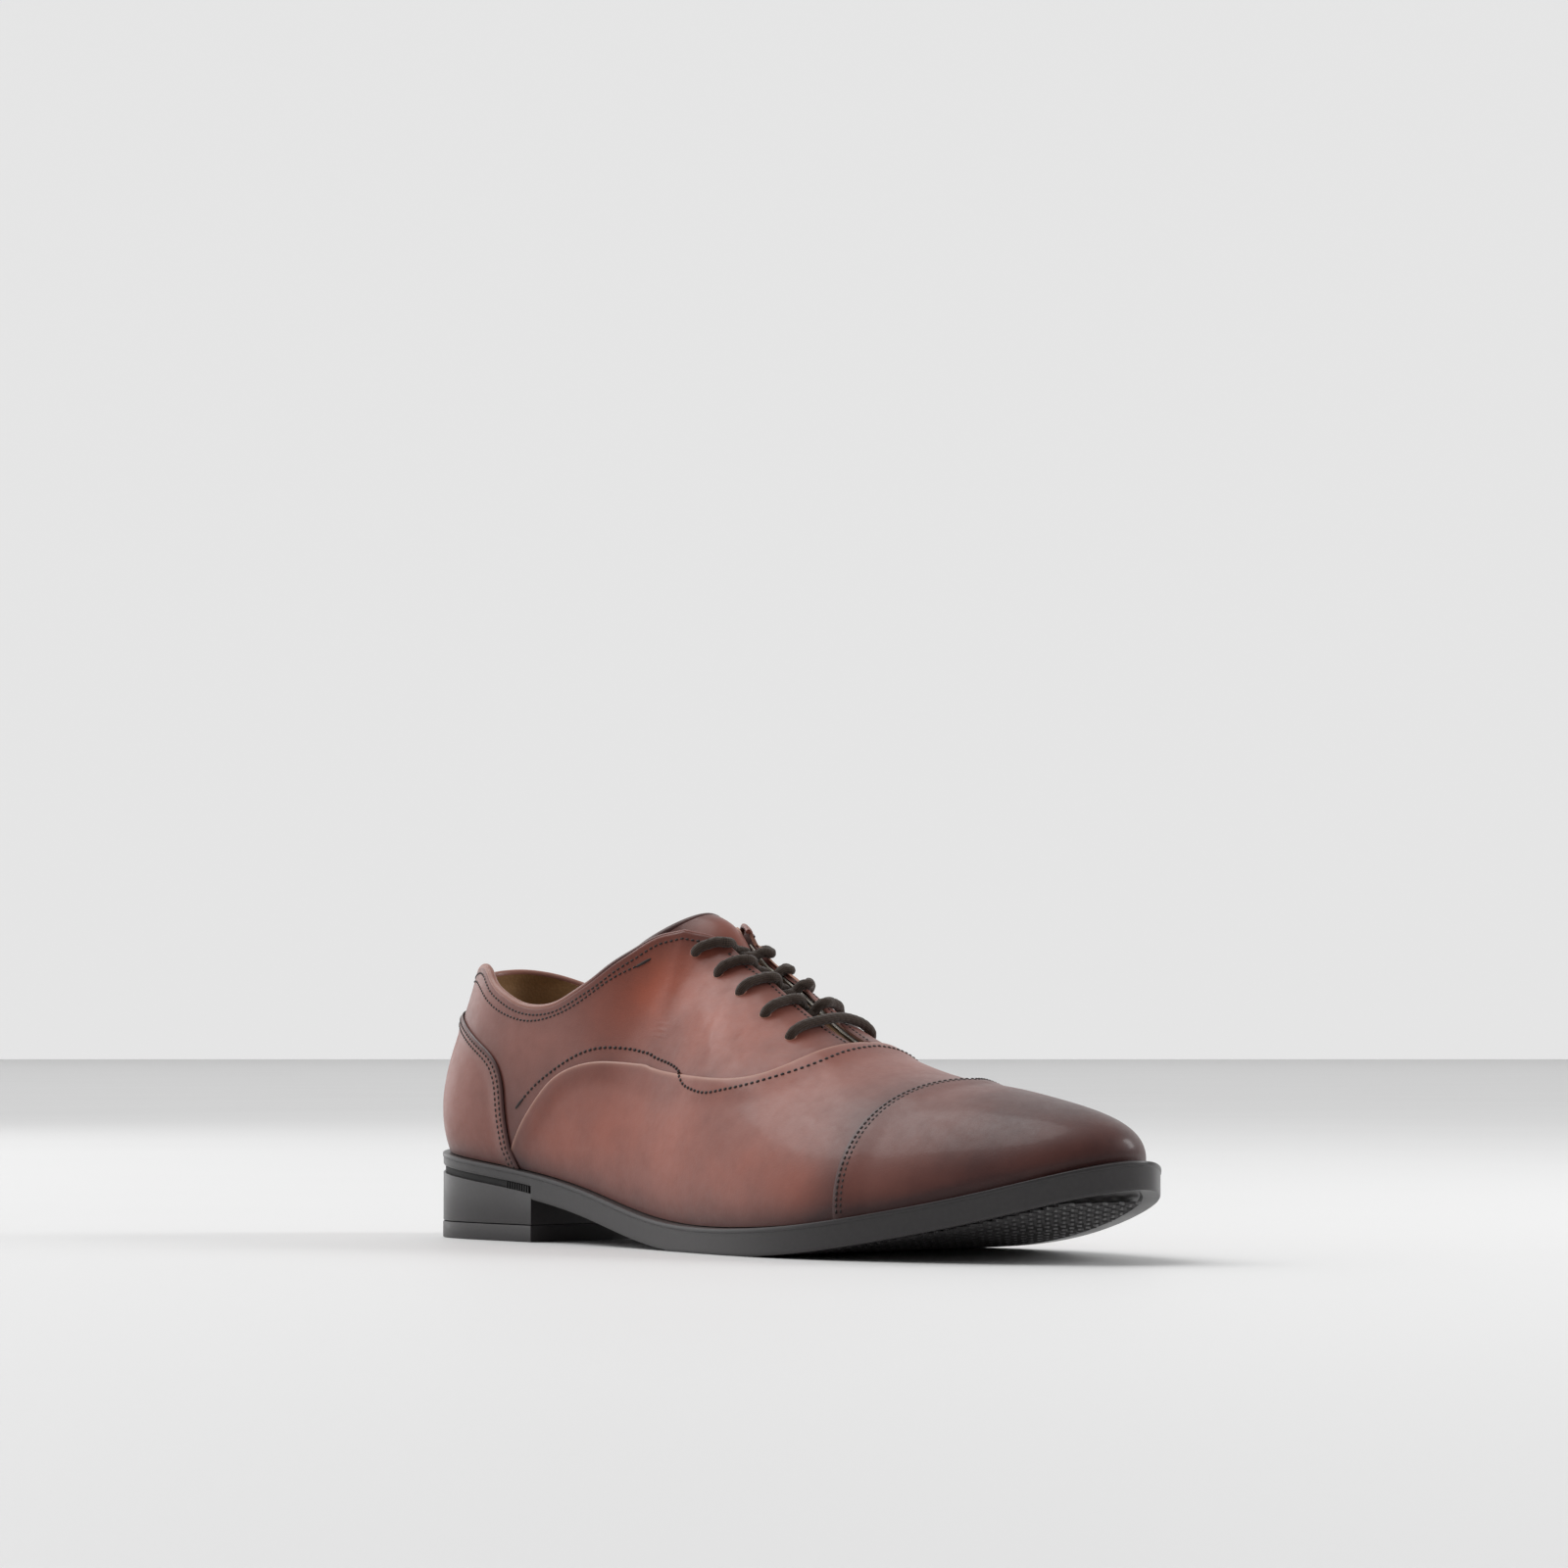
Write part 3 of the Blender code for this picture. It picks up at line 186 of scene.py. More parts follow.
def spline(points):
    """A natural cubic through (x, y) points, as a function of x."""
    xs, ys = (np.array(values, float) for values in zip(*sorted(points)))
    step = np.diff(xs)
    matrix = np.eye(len(xs))
    target = np.zeros(len(xs))
    for i in range(1, len(xs) - 1):
        matrix[i, i - 1:i + 2] = step[i - 1], 2 * (step[i - 1] + step[i]), step[i]
        target[i] = 6 * ((ys[i + 1] - ys[i]) / step[i] - (ys[i] - ys[i - 1]) / step[i - 1])
    bend = np.linalg.solve(matrix, target)

    def value(x):
        x = np.clip(np.asarray(x, float), xs[0], xs[-1])
        i = np.clip(np.searchsorted(xs, x, side="right") - 1, 0, len(xs) - 2)
        t = x - xs[i]
        slope = (ys[i + 1] - ys[i]) / step[i] - step[i] * (2 * bend[i] + bend[i + 1]) / 6
        return ys[i] + t * (slope + t * (bend[i] / 2 + t * (bend[i + 1] - bend[i]) / (6 * step[i])))
    return value


def closed_spline(points, period):
    """A cubic through (x, y) points that repeats every period."""
    points = sorted(points)
    wrap = 4
    before = [(x - period, y) for x, y in points[-wrap:]]
    after = [(x + period, y) for x, y in points[:wrap]]
    value = spline(before + points + after)
    start = points[0][0]
    return lambda x: value((np.asarray(x, float) - start) % period + start)


def part_way(start, end, x):
    return np.clip((np.asarray(x, float) - start) / (end - start), 0, 1)


def smooth(start, end, x):
    t = part_way(start, end, x)
    return t * t * (3 - 2 * t)


def gentle(start, end, x):
    """Like smooth(), with no jump in curvature at its ends."""
    t = part_way(start, end, x)
    return t ** 3 * (10 - 15 * t + 6 * t * t)


def unit(vectors):
    return vectors / np.linalg.norm(vectors, axis=-1, keepdims=True)


def curve_through(along, places):
    """A smooth curve through places, as a function of the distance along it."""
    curves = [spline(list(zip(along, column))) for column in places.T]
    return lambda w: np.stack([curve(w) for curve in curves], -1)


def at_distance(w, along, values):
    """Rows of values where the distance along their line is w."""
    return np.stack([np.interp(w, along, column) for column in values.T], -1)


def station(x):
    """0 at the toe tip, 1 at the heel back."""
    return np.arccos(np.clip(2 * np.asarray(x, float) / LENGTH - 1, -1, 1)) / math.pi


def reach(u):
    return LENGTH * (1 + np.cos(math.pi * np.asarray(u, float))) / 2


def lengths_along(line, scale):
    return np.concatenate([[0], np.cumsum(np.linalg.norm(np.diff(line * scale, axis=0), axis=1))])


def path(points, count):
    """Evenly spaced (u, t) places along a smooth line through (x, t) points."""
    places = np.array([(float(station(x)), t) for x, t in points])
    along = lengths_along(places, SPREAD)
    return curve_through(along, places)(np.linspace(0, along[-1], count))


def resample(line, shares):
    """Places at these shares of the line's length."""
    along = lengths_along(line, SPREAD)
    return at_distance(np.asarray(shares) * along[-1], along, line)


def shifted(line, distance):
    """The line moved to its left, in millimetres on the leather."""
    flat = line * SPREAD
    way = unit(np.gradient(flat, axis=0))
    return (flat + distance * np.stack([-way[:, 1], way[:, 0]], 1)) / SPREAD


def distance(places, line):
    """How far (u, t) places are from a line, in millimetres on the leather."""
    flat = places.reshape(-1, 2) * SPREAD
    start = resample(line, np.linspace(0, 1, 160)) * SPREAD
    step = np.diff(start, axis=0)
    found = np.full(len(flat), 1e9)
    for a, way in zip(start, step):
        along = np.clip((flat - a) @ way / (way @ way + 1e-12), 0, 1)
        found = np.minimum(found, np.linalg.norm(flat - a - along[:, None] * way, axis=1))
    return found.reshape(places.shape[:-1])


def eased(count, fine=0.8):
    """Shares from 0 to 1, closer together at both ends."""
    w = np.linspace(0, 1, count)
    return (1 - fine) * w + fine * (1 - np.cos(math.pi * w)) / 2


# ---------------------------------------------------------------- the last

outline_y = closed_spline(
    [(-float(station(x)), -y) for x, y in LATERAL] + [(float(station(x)), y) for x, y in MEDIAL]
    + [(0, 0.5), (1, 0)], 2)
rise_curve = spline(RIM)
inset_curve = spline(INSET)
ridge_curve = spline(RIDGE)
ridge_reach = spline(RIDGE_REACH)
cone_curve = spline(CONE)
ridge_side = spline(RIDGE_SIDE)
cone_half = spline([(float(station(x)), half) for x, half in CONE_HALF])
bulge_curve = spline(BULGE)
lift_curve = spline(RISE)
shoulder_curve = spline(SHOULDER)
facing_width = {side: spline(points) for side, points in FACING.items()}
topline_share = spline(TOPLINE[LATERAL_SIDE])
tongue_sit = spline(TONGUE_SIT)


def rim_top(x):
    return SOLE_EDGE + rise_curve(x)


def tread(x):
    """The sole's underside, flat where it rests."""
    return np.maximum(rise_curve(x) - 0.4, 0)


def outline(u, inset=0.0):
    """Points of the sole's edge, moved in by inset, and its normals."""
    def edge(at):
        return np.stack([reach(at), outline_y(at)], -1)
    u = np.asarray(u, float)
    step = 1e-4
    way = unit(edge(u + step) - edge(u - step))
    normal = np.stack([way[..., 1], -way[..., 0]], -1)
    return edge(u) - normal * np.asarray(inset)[..., None], normal


def crest(x):
    """Height of the last's ridge over the floor, or of the cone's rim behind it."""
    front = ridge_curve(np.clip(x, 110, 262))
    back = cone_curve(np.clip(x, 10, 114))
    return np.where(np.asarray(x) > 114, front, back)


def cone_reach(x):
    """Half the width of the last's open top, nothing in front of it."""
    return np.where(np.asarray(x) < 142, np.maximum(cone_half(station(x)), 0), 0)


def upper(u, t):
    """A point of the upper's outer face: t runs from the sole (0) to the ridge (1)."""
    u, t = np.broadcast_arrays((np.asarray(u, float) + 1) % 2 - 1, np.asarray(t, float))
    x = reach(u)
    side = np.where(u < 0, -1.0, 1.0)
    at_sole, normal = outline(u, inset_curve(x))
    foot = np.concatenate([at_sole, (rim_top(at_sole[..., 0]) + GAP)[..., None]], -1)
    out = np.concatenate([normal, np.zeros(normal.shape[:-1] + (1,))], -1)
    up = np.zeros(foot.shape)
    up[..., 2] = 1
    top_x = ridge_reach(x)
    middle, half = ridge_side(top_x), cone_reach(x)
    top = np.stack([top_x, side * half + middle, crest(top_x)], -1)
    slope = (crest(top_x + 1) - crest(top_x - 1)) / 2
    slope = np.where(top_x > 116, slope, 0)
    over = (foot - top) * shoulder_curve(np.clip(x, 118, 302))[..., None]
    over[..., 2] = slope * over[..., 0]
    down = out * 3 - up * (0.38 * (top[..., 2] - foot[..., 2]))[..., None]
    rear = gentle(158, 97, x)[..., None]
    first = foot + out * bulge_curve(x)[..., None] + up * lift_curve(x)[..., None]
    second = top + over * (1 - rear) + down * rear
    t = t[..., None]
    return ((1 - t) ** 3 * foot + 3 * (1 - t) ** 2 * t * first + 3 * (1 - t) * t * t * second
            + t ** 3 * top)


def facing_out(u, t):
    """The surface normal. On the ridge both sides share one."""
    step = 1e-4
    t = np.clip(t, 0, 1 - step)

    def one_side(u):
        along = upper(u + step, t) - upper(u - step, t)
        return unit(np.cross(along, upper(u, t + step) - upper(u, t)))
    normal = one_side(u)
    shared = (t > 0.999) & (cone_reach(reach(u)) < 0.01)
    return np.where(shared[..., None], unit(normal + one_side(-np.asarray(u))), normal)


def beneath(u, t, depth):
    """The point this far below the outer face."""
    return upper(u, t) - facing_out(u, t) * np.asarray(depth)[..., None]


def share_at_width(x, side, width):
    """The height share at which this side's surface is this far from the ridge line."""
    x = np.asarray(x, float)
    u = side * station(x)
    middle_y = ridge_side(ridge_reach(x))
    low, high = np.full(x.shape, 0.6), np.full(x.shape, 1.0)
    for _ in range(30):
        middle = (low + high) / 2
        outside = side * (upper(u, middle)[..., 1] - middle_y) > width
        low, high = np.where(outside, middle, low), np.where(outside, high, middle)
    return low


def ridge_line(x):
    front = np.clip(x, 114.5, 262)
    return crest(front) + ridge_curve(x) - ridge_curve(front)


def ridge_place(x, depth):
    """A point under the middle of the instep; the ridge runs on past the open top."""
    x, depth = np.asarray(x, float), np.asarray(depth, float)
    slope = (ridge_line(x + 1) - ridge_line(x - 1)) / 2
    normal = unit(np.stack([-slope, np.zeros(x.shape), np.ones(x.shape)], -1))
    return np.stack([x, ridge_side(x), ridge_line(x)], -1) - normal * depth[..., None]


# ---------------------------------------------------------------- seams

def cap_edge(t, shift=0.0):
    """Places on the cap's rear edge, which leans forward towards the ridge."""
    return np.stack([station(CAP_START + CAP_SWEEP * t ** 3 + shift), t], 1)


def facing_edge(side, xs, shift=0.0):
    """A quarter's front edge, from the throat up to its top corner."""
    share = share_at_width(xs, side, facing_width[side](xs) + shift)
    return np.stack([station(xs), np.minimum(share, 0.985)], 1)


def turn_between(a, b):
    return a[0] * b[1] - a[1] * b[0]


def crossing(a, b):
    """Where the line that a runs along meets the line that b starts with."""
    first, second = b[:2] * SPREAD
    other = second - first
    found = []
    for p, q in zip(a[:-1] * SPREAD, a[1:] * SPREAD):
        way = q - p
        share = turn_between(first - p, other) / turn_between(way, other)
        found.append((abs(share - 0.5), tuple((p + way * share) / SPREAD)))
    return np.array(min(found)[1])


def swoop_line():
    return path(SWOOP, 300)


def counter_line(shift=0.0):
    """The counter cover's edge, from the sole up to the heel back."""
    line = path(COUNTER_EDGE[1:], 120)
    start = np.array([[float(station(COUNTER_EDGE[0][0])), 0.0]])
    return shifted(np.concatenate([start, line]), shift)


def coons(bottom, top, left, right, s, r, pull=1.0):
    """A grid of (u, t) places between four lines. A higher pull keeps the right line's shape
    closer to that line."""
    s = (s ** pull)[None, :, None]
    r = r[:, None, None]
    ruled = (1 - r) * bottom[None] + r * top[None]
    crossed = (1 - s) * left[:, None] + s * right[:, None]
    corners = ((1 - s) * (1 - r) * bottom[0] + s * (1 - r) * bottom[-1]
               + (1 - s) * r * top[0] + s * r * top[-1])
    return ruled + crossed - corners


def on_side(grid, side):
    """A grid laid out with positive u, put on one side with its columns running towards +u."""
    return grid * (side, 1) if side == LATERAL_SIDE else grid[:, ::-1]


def straight(a, b, shares):
    return np.asarray(a) + (np.asarray(b) - a) * shares[:, None]


# ---------------------------------------------------------------- mesh helpers

def placed(points):
    """Design millimetres to the frame's metres."""
    return (np.asarray(points, float) - (LENGTH / 2, 0, 0)) * MM


def clear_selection():
    if bpy.context.mode != "OBJECT":
        bpy.ops.object.mode_set(mode="OBJECT")
    bpy.ops.object.select_all(action="DESELECT")


def take(piece):
    clear_selection()
    piece.select_set(True)
    bpy.context.view_layer.objects.active = piece


def edit(piece, *steps):
    """Runs mesh operators on the whole of a piece."""
    take(piece)
    bpy.ops.object.mode_set(mode="EDIT")
    bpy.ops.mesh.select_all(action="SELECT")
    for step in steps:
        step()
    bpy.ops.object.mode_set(mode="OBJECT")


def merge(threshold=0.00002):
    bpy.ops.mesh.remove_doubles(threshold=threshold)


def face_outwards():
    bpy.ops.mesh.normals_make_consistent(inside=False)


def modified(piece, kind, **settings):
    """Adds a modifier and applies it."""
    take(piece)
    modifier = piece.modifiers.new(kind.lower(), kind)
    for setting, value in settings.items():
        setattr(modifier, setting, value)
    bpy.ops.object.modifier_apply(modifier=modifier.name)


def softened(piece, degrees=40):
    take(piece)
    bpy.ops.object.shade_smooth_by_angle(angle=math.radians(degrees))


def into_scene(name, data):
    item = bpy.data.objects.new(name, data)
    bpy.context.scene.collection.objects.link(item)
    return item


def dress(piece, *materials):
    piece.data.materials.clear()
    for material in materials:
        piece.data.materials.append(material)


def mark(piece, **marks):
    """Writes the marks that the leather reads: one number each, or one for every point."""
    for name, values in marks.items():
        layer = piece.data.attributes.new(name, "FLOAT", "POINT")
        values = np.broadcast_to(np.ravel(values), len(piece.data.vertices)).astype(float)
        layer.data.foreach_set("value", values)


def carried(name, points, marks={}):
    """A primitive grid whose corners are carried onto (rows, columns, 3) points, with named marks."""
    rows, columns = points.shape[:2]
    clear_selection()
    bpy.ops.mesh.primitive_grid_add(x_subdivisions=columns - 1, y_subdivisions=rows - 1, size=1)
    piece = bpy.context.object
    piece.name = piece.data.name = name
    piece.data.vertices.foreach_set("co", placed(points).reshape(-1))
    mark(piece, **marks)
    return piece


def joined(name, pieces):
    take(pieces[0])
    for piece in pieces:
        piece.select_set(True)
    if len(pieces) > 1:
        bpy.ops.object.join()
    whole = bpy.context.object
    whole.name = whole.data.name = name
    edit(whole, merge)
    return whole


def from_arrays(name, points, faces, material):
    """A mesh in design millimetres from points and faces."""
    mesh = bpy.data.meshes.new(name)
    mesh.from_pydata(placed(points).tolist(), [], [list(map(int, face)) for face in faces])
    mesh.update()
    piece = into_scene(name, mesh)
    dress(piece, material)
    return piece


def finished(piece, slot, replaced=(), body=None):
    """Hides the parts a piece stands for, and makes it ride with the shoe's body, or bakes its place
    into its mesh; slot, the name of its finish, is not used.
    """
    if replaced:
        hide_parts(*replaced)
    if body:
        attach(piece, body)
    else:
        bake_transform(piece)
    return piece


def lapped(far, height, fade=9.0):
    """How high a lapping panel stands this far in from its edge, with the edge rolled over."""
    roll = 0.32 * np.clip(1 - far / 0.55, 0, 1) ** 2
    return height * (1 - smooth(0.8, fade, far)) - roll


def panel(name, grids, lift, materials, marks=lambda places: {}, thickness=LEATHER):
    """A leather panel with a real thickness. lift and marks are functions of a (u, t) grid."""
    pieces = []
    for number, grid in enumerate(grids):
        places = np.stack([np.abs(grid[..., 0]), grid[..., 1]], -1)
        points = beneath(grid[..., 0], grid[..., 1], -lift(places))
        pieces.append(carried(f"{name}_{number}", points, marks(places)))
    piece = joined(name, pieces)
    dress(piece, *materials)
    modified(piece, "SOLIDIFY", thickness=thickness * MM, offset=-1, use_even_offset=False,
             material_offset_rim=len(materials) - 1)
    softened(piece, 50)
    return piece


def burnish_and_painted_light(places, dark_lines=(), highlight_line=None):
    """Marks for the leather: dark at seams, sole and toe, warm below the eyelets, and a painted
    highlight (pale) along an edge. Dark lines that callers give may be painted shadow lines.
    """
    x, t = reach(places[..., 0]), places[..., 1]
    dark = 0.55 * np.exp(-(t / 0.07) ** 2) + 0.3 * smooth(200, 232, x) + 0.6 * smooth(225, 285, x)
    for line, strength, width in dark_lines:
        dark = dark + strength * np.exp(-(distance(places, line) / width) ** 1.3)
    warm = np.exp(-(distance(places, path(WARM_LINE, 40)) / 13) ** 2)
    low_band = np.exp(-((t - 0.22) / 0.16) ** 2)
    warm = warm + 0.55 * low_band * smooth(50, 75, x) * (1 - smooth(205, 235, x))
    # pale: a painted highlight along the given line
    pale = np.zeros(t.shape)
    if highlight_line is not None:
        pale = np.exp(-(distance(places, highlight_line) / 0.7) ** 2)
    return {"dark": np.clip(dark, 0, 1), "warm": np.clip(warm, 0, 1), "pale": pale}


def ring_faces(rings, sides):
    """Faces from each ring of points to the next."""
    return [(i * sides + k, i * sides + (k + 1) % sides, (i + 1) * sides + (k + 1) % sides,
             (i + 1) * sides + k) for i in range(rings - 1) for k in range(sides)]


def ring_ends(rings, sides):
    return [tuple(range(sides - 1, -1, -1)), tuple(range((rings - 1) * sides, rings * sides))]


def counted_from(start, faces):
    return [tuple(start + corner for corner in face) for face in faces]


def bead_template(length, radius):
    """Rings of a stitch: it dips into the leather at both ends."""
    sides, profile = 6, ((-0.5, 0.3, 0.5), (-0.36, 0.85, 0.1), (0, 1, 0), (0.36, 0.85, 0.1),
                         (0.5, 0.3, 0.5))
    points = []
    for along, size, sink in profile:
        for angle in np.arange(sides) * 2 * math.pi / sides:
            points.append((along * length, math.cos(angle) * radius * size,
                           (math.sin(angle) * size * 0.8 - sink) * radius))
    return np.array(points), ring_faces(len(profile), sides) + ring_ends(len(profile), sides)


def stitch_row(points, normals, pitch, radius, cover=0.72):
    """Stitches along a line of surface points."""
    along = lengths_along(points, 1)
    count = max(int(round(along[-1] / pitch)), 1)
    at = (np.arange(count) + 0.5) * along[-1] / count
    bead, faces = bead_template(along[-1] / count * cover, radius)
    centre, normal = at_distance(at, along, points), at_distance(at, along, normals)
    way = unit(at_distance(at + 0.3, along, points) - at_distance(at - 0.3, along, points))
    axes = np.stack([way, unit(np.cross(normal, way)), normal], 1)
    all_points = centre[:, None] + bead @ axes
    all_faces = [face for n in range(count) for face in counted_from(n * len(bead), faces)]
    return all_points.reshape(-1, 3), all_faces


def sewn(name, rows, pitch, radius, material, cover=0.72):
    """One piece of stitching from rows of (side, places, lift)."""
    points, faces = np.empty((0, 3)), []
    for side, places, lift in rows:
        u, t = side * places[:, 0], places[:, 1]
        row_points, row_faces = stitch_row(beneath(u, t, -np.asarray(lift)), facing_out(u, t), pitch,
                                           radius, cover)
        faces += counted_from(len(points), row_faces)
        points = np.concatenate([points, row_points])
    piece = from_arrays(name, points, faces, material)
    edit(piece, face_outwards)
    softened(piece, 70)
    return piece


def tube(name, centre, radius, sides, material, wave=None):
    """A closed tube along points, in millimetres; its UV map runs round it and along it."""
    way = unit(np.gradient(centre, axis=0))
    across = [unit(np.cross(way[0], (0.3, 0.2, 1.0)))]
    for ahead in way[1:]:
        across.append(unit(across[-1] - ahead * (across[-1] @ ahead)))
    across = np.array(across)
    up = np.cross(way, across)
    along = lengths_along(centre, 1)
    angles = np.arange(sides) * 2 * math.pi / sides
    size = np.broadcast_to(np.reshape(radius, (-1, 1)), (len(centre), sides))
    if wave is not None:
        size = size + wave(angles[None], along[:, None])
    round_it = (np.cos(angles)[None, :, None] * across[:, None]
                + np.sin(angles)[None, :, None] * up[:, None])
    points = centre[:, None] + size[..., None] * round_it
    faces = ring_faces(len(centre), sides) + ring_ends(len(centre), sides)
    uvs = [((k + right) / sides, along[i + ahead]) for i in range(len(centre) - 1)
           for k in range(sides) for right, ahead in ((0, 0), (1, 0), (1, 1), (0, 1))]
    uvs += [(0, 0)] * (2 * sides)
    piece = from_arrays(name, points.reshape(-1, 3), faces, material)
    layer = piece.data.uv_layers.new(name="UVMap")
    layer.data.foreach_set("uv", np.array(uvs, float).reshape(-1))
    softened(piece, 60)
    return piece


def smooth_route(points, spacing):
    """Evenly spaced points on one smooth curve through the route's points."""
    along = lengths_along(points, 1)
    return curve_through(along, points)(np.linspace(0, along[-1], int(along[-1] / spacing) + 1))


def loft(name, stations, section, material, across=10):
    """A closed body along the sole's outline, from section(x), rows of (inset, height) from the
    underside up."""
    rings = []
    for u in stations:
        rows = np.array(section(float(reach(u))))
        left, right = (np.concatenate([outline(np.full(len(rows), side * u), rows[:, 0])[0],
                                       rows[:, 1:]], 1) for side in BOTH)
        shares = np.linspace(0, 1, across + 2)[1:-1, None]
        over = left[-1] + (right[-1] - left[-1]) * shares
        under = right[0] + (left[0] - right[0]) * shares
        rings.append(np.concatenate([left, over, right[::-1], under]))
    rings = np.array(rings)
    size = rings.shape[1]
    faces = ring_faces(len(rings), size)
    for number in (0, len(rings) - 1):
        if np.ptp(rings[number][:, 1]) > 1:
            faces.append(tuple(number * size + k for k in range(size)))
    piece = from_arrays(name, rings.reshape(-1, 3), faces, material)
    edit(piece, merge, lambda: bpy.ops.mesh.dissolve_degenerate(threshold=0.00001), face_outwards)
    softened(piece, 35)
    return piece


# ---------------------------------------------------------------- materials

def shader(name, **sockets):
    """A new material whose plain numbers sit on the Principled BSDF's own sockets."""
    material = bpy.data.materials.new(name)
    material.use_nodes = True
    surface = material.node_tree.nodes["Principled BSDF"]
    for socket, value in sockets.items():
        surface.inputs[socket.replace("_", " ")].default_value = value
    return material, surface


def made_once(make):
    """Turns a maker of finishes into one that makes each name once."""
    def finish(name, *looks):
        return bpy.data.materials.get(name) or make(name, *looks)
    return finish


def add(tree, kind, inputs=None, **settings):
    node = tree.nodes.new(kind)
    for setting, value in settings.items():
        setattr(node, setting, value)
    for socket, value in (inputs or {}).items():
        if isinstance(value, bpy.types.NodeSocket):
            tree.links.new(value, node.inputs[socket])
        else:
            node.inputs[socket].default_value = value
    return node


def where(surface):
    return add(surface.id_data, "ShaderNodeTexCoord").outputs["Object"]


def mapped(vector, **settings):
    return add(vector.id_data, "ShaderNodeMapping", {"Vector": vector, **settings}).outputs[0]


def noise(vector, scale, detail=3.0, rough=0.55):
    settings = {"Vector": vector, "Scale": scale, "Detail": detail, "Roughness": rough}
    return add(vector.id_data, "ShaderNodeTexNoise", settings).outputs["Fac"]


def cells(vector, scale):
    return add(vector.id_data, "ShaderNodeTexVoronoi",
               {"Vector": vector, "Scale": scale}).outputs["Distance"]


def levels(value, low, high, to_low=0.0, to_high=1.0):
    return add(value.id_data, "ShaderNodeMapRange",
               {"Value": value, "From Min": low, "From Max": high,
                "To Min": to_low, "To Max": to_high}).outputs["Result"]


def maths(operation, a, b=0.0):
    return add(a.id_data, "ShaderNodeMath", {0: a, 1: b}, operation=operation).outputs[0]


def blend_colour(share, a, b):
    """Mixes two colours, each one a plain colour or a socket."""
    a, b = (part if isinstance(part, bpy.types.NodeSocket) else (*part[:3], 1.0) for part in (a, b))
    return add(share.id_data, "ShaderNodeMix", {0: share, 6: a, 7: b}, data_type="RGBA").outputs[2]


def marked(surface, name):
    return add(surface.id_data, "ShaderNodeAttribute", attribute_name=name).outputs["Fac"]


def bumped(surface, height, strength, depth):
    node = add(surface.id_data, "ShaderNodeBump",
               {"Height": height, "Strength": strength, "Distance": depth})
    surface.id_data.links.new(node.outputs["Normal"], surface.inputs["Normal"])


def link(surface, **sources):
    """Links sockets to the surface's inputs."""
    for socket, source in sources.items():
        surface.id_data.links.new(source, surface.inputs[socket.replace("_", " ")])


def darker(colour, share):
    return tuple(part * share for part in colour[:3])


@made_once
def leather_with_burnish_and_painted_light(name, colours):
    """Smooth leather: fine pores, faint creases, darkened, warmed and paled by the marks on the mesh;
    the dark marks include painted shadow lines and painted shade, and the pale mark can be a painted
    highlight.
    """
    material, surface = shader(name, Specular_IOR_Level=0.38, Coat_Weight=0.16, Coat_Roughness=0.16,
                               Sheen_Weight=0.12, Sheen_Roughness=0.5)
    place = where(surface)
    cloud, mottle = noise(place, 28, 4, 0.6), noise(place, 160, 3, 0.6)
    dark = maths("ADD", marked(surface, "dark"), levels(cloud, 0.35, 0.75, -0.1, 0.28))
    warm = maths("MULTIPLY", marked(surface, "warm"), levels(cloud, 0.2, 0.7, 1.1, 0.75))
    colour = blend_colour(levels(warm, 0, 1), colours.leather, colours.warm)
    # the dark mark holds the dark toe and seams, and also painted shadow lines and painted shade
    colour = blend_colour(levels(dark, 0, 1), colour, colours.burnish_and_painted_light)
    colour = blend_colour(levels(mottle, 0.45, 0.8, 0, 0.16), colour, darker(colours.leather, 0.5))
    # the pale mark draws the colour towards the raw-edge colour; along the vamp's seam it is a painted
    # highlight
    colour = blend_colour(maths("MULTIPLY", marked(surface, "pale"), 0.55), colour, colours.edge)
    crease = noise(place, 420, 4, 0.65)
    link(surface, Base_Color=colour,
         Roughness=levels(maths("ADD", crease, mottle), 0.7, 1.3, 0.45, 0.6))
    bumped(surface, maths("ADD", maths("MULTIPLY", cells(place, 1500), 0.5), crease), 0.22, 0.00016)
    return material


@made_once
def soft_leather(name, colour, shade, scale=900, rough=0.62):
    """Lining, sock and raw edges: matt leather with a fibrous grain."""
    material, surface = shader(name, Specular_IOR_Level=0.3, Sheen_Weight=0.15)
    place = where(surface)
    fibre = noise(place, scale, 4, 0.7)
    patchy = maths("ADD", noise(place, 45, 4, 0.6), maths("MULTIPLY", fibre, 0.5))
    link(surface, Base_Color=blend_colour(levels(patchy, 0.5, 1.0), colour, shade),
         Roughness=levels(fibre, 0.3, 0.7, rough - 0.08, rough + 0.1))
    bumped(surface, maths("ADD", fibre, cells(place, scale * 1.3)), 0.35, 0.00015)
    return material


@made_once
def braided(name, colour, shade):
    """Round woven lace: strands cross along the cord's own UV map."""
    material, surface = shader(name, Roughness=0.78, Specular_IOR_Level=0.25, Sheen_Weight=0.25,
                               Sheen_Roughness=0.4)
    tree = surface.id_data
    uv = add(tree, "ShaderNodeUVMap", uv_map="UVMap").outputs["UV"]
    strands = []
    for turn in (1, -1):
        place = mapped(uv, Scale=(8.0 * turn, 1.25, 1))
        parts = add(tree, "ShaderNodeSeparateXYZ", {0: place}).outputs
        strands.append(maths("SINE", maths("MULTIPLY", maths("ADD", parts[0], parts[1]), 2 * math.pi)))
    weave = levels(maths("MULTIPLY", *strands), -1, 1)
    height = maths("ADD", weave, maths("MULTIPLY", noise(where(surface), 2600, 3, 0.7), 0.5))
    link(surface, Base_Color=blend_colour(levels(height, 0.35, 1.2), shade, colour))
    bumped(surface, height, 0.6, 0.00018)
    return material


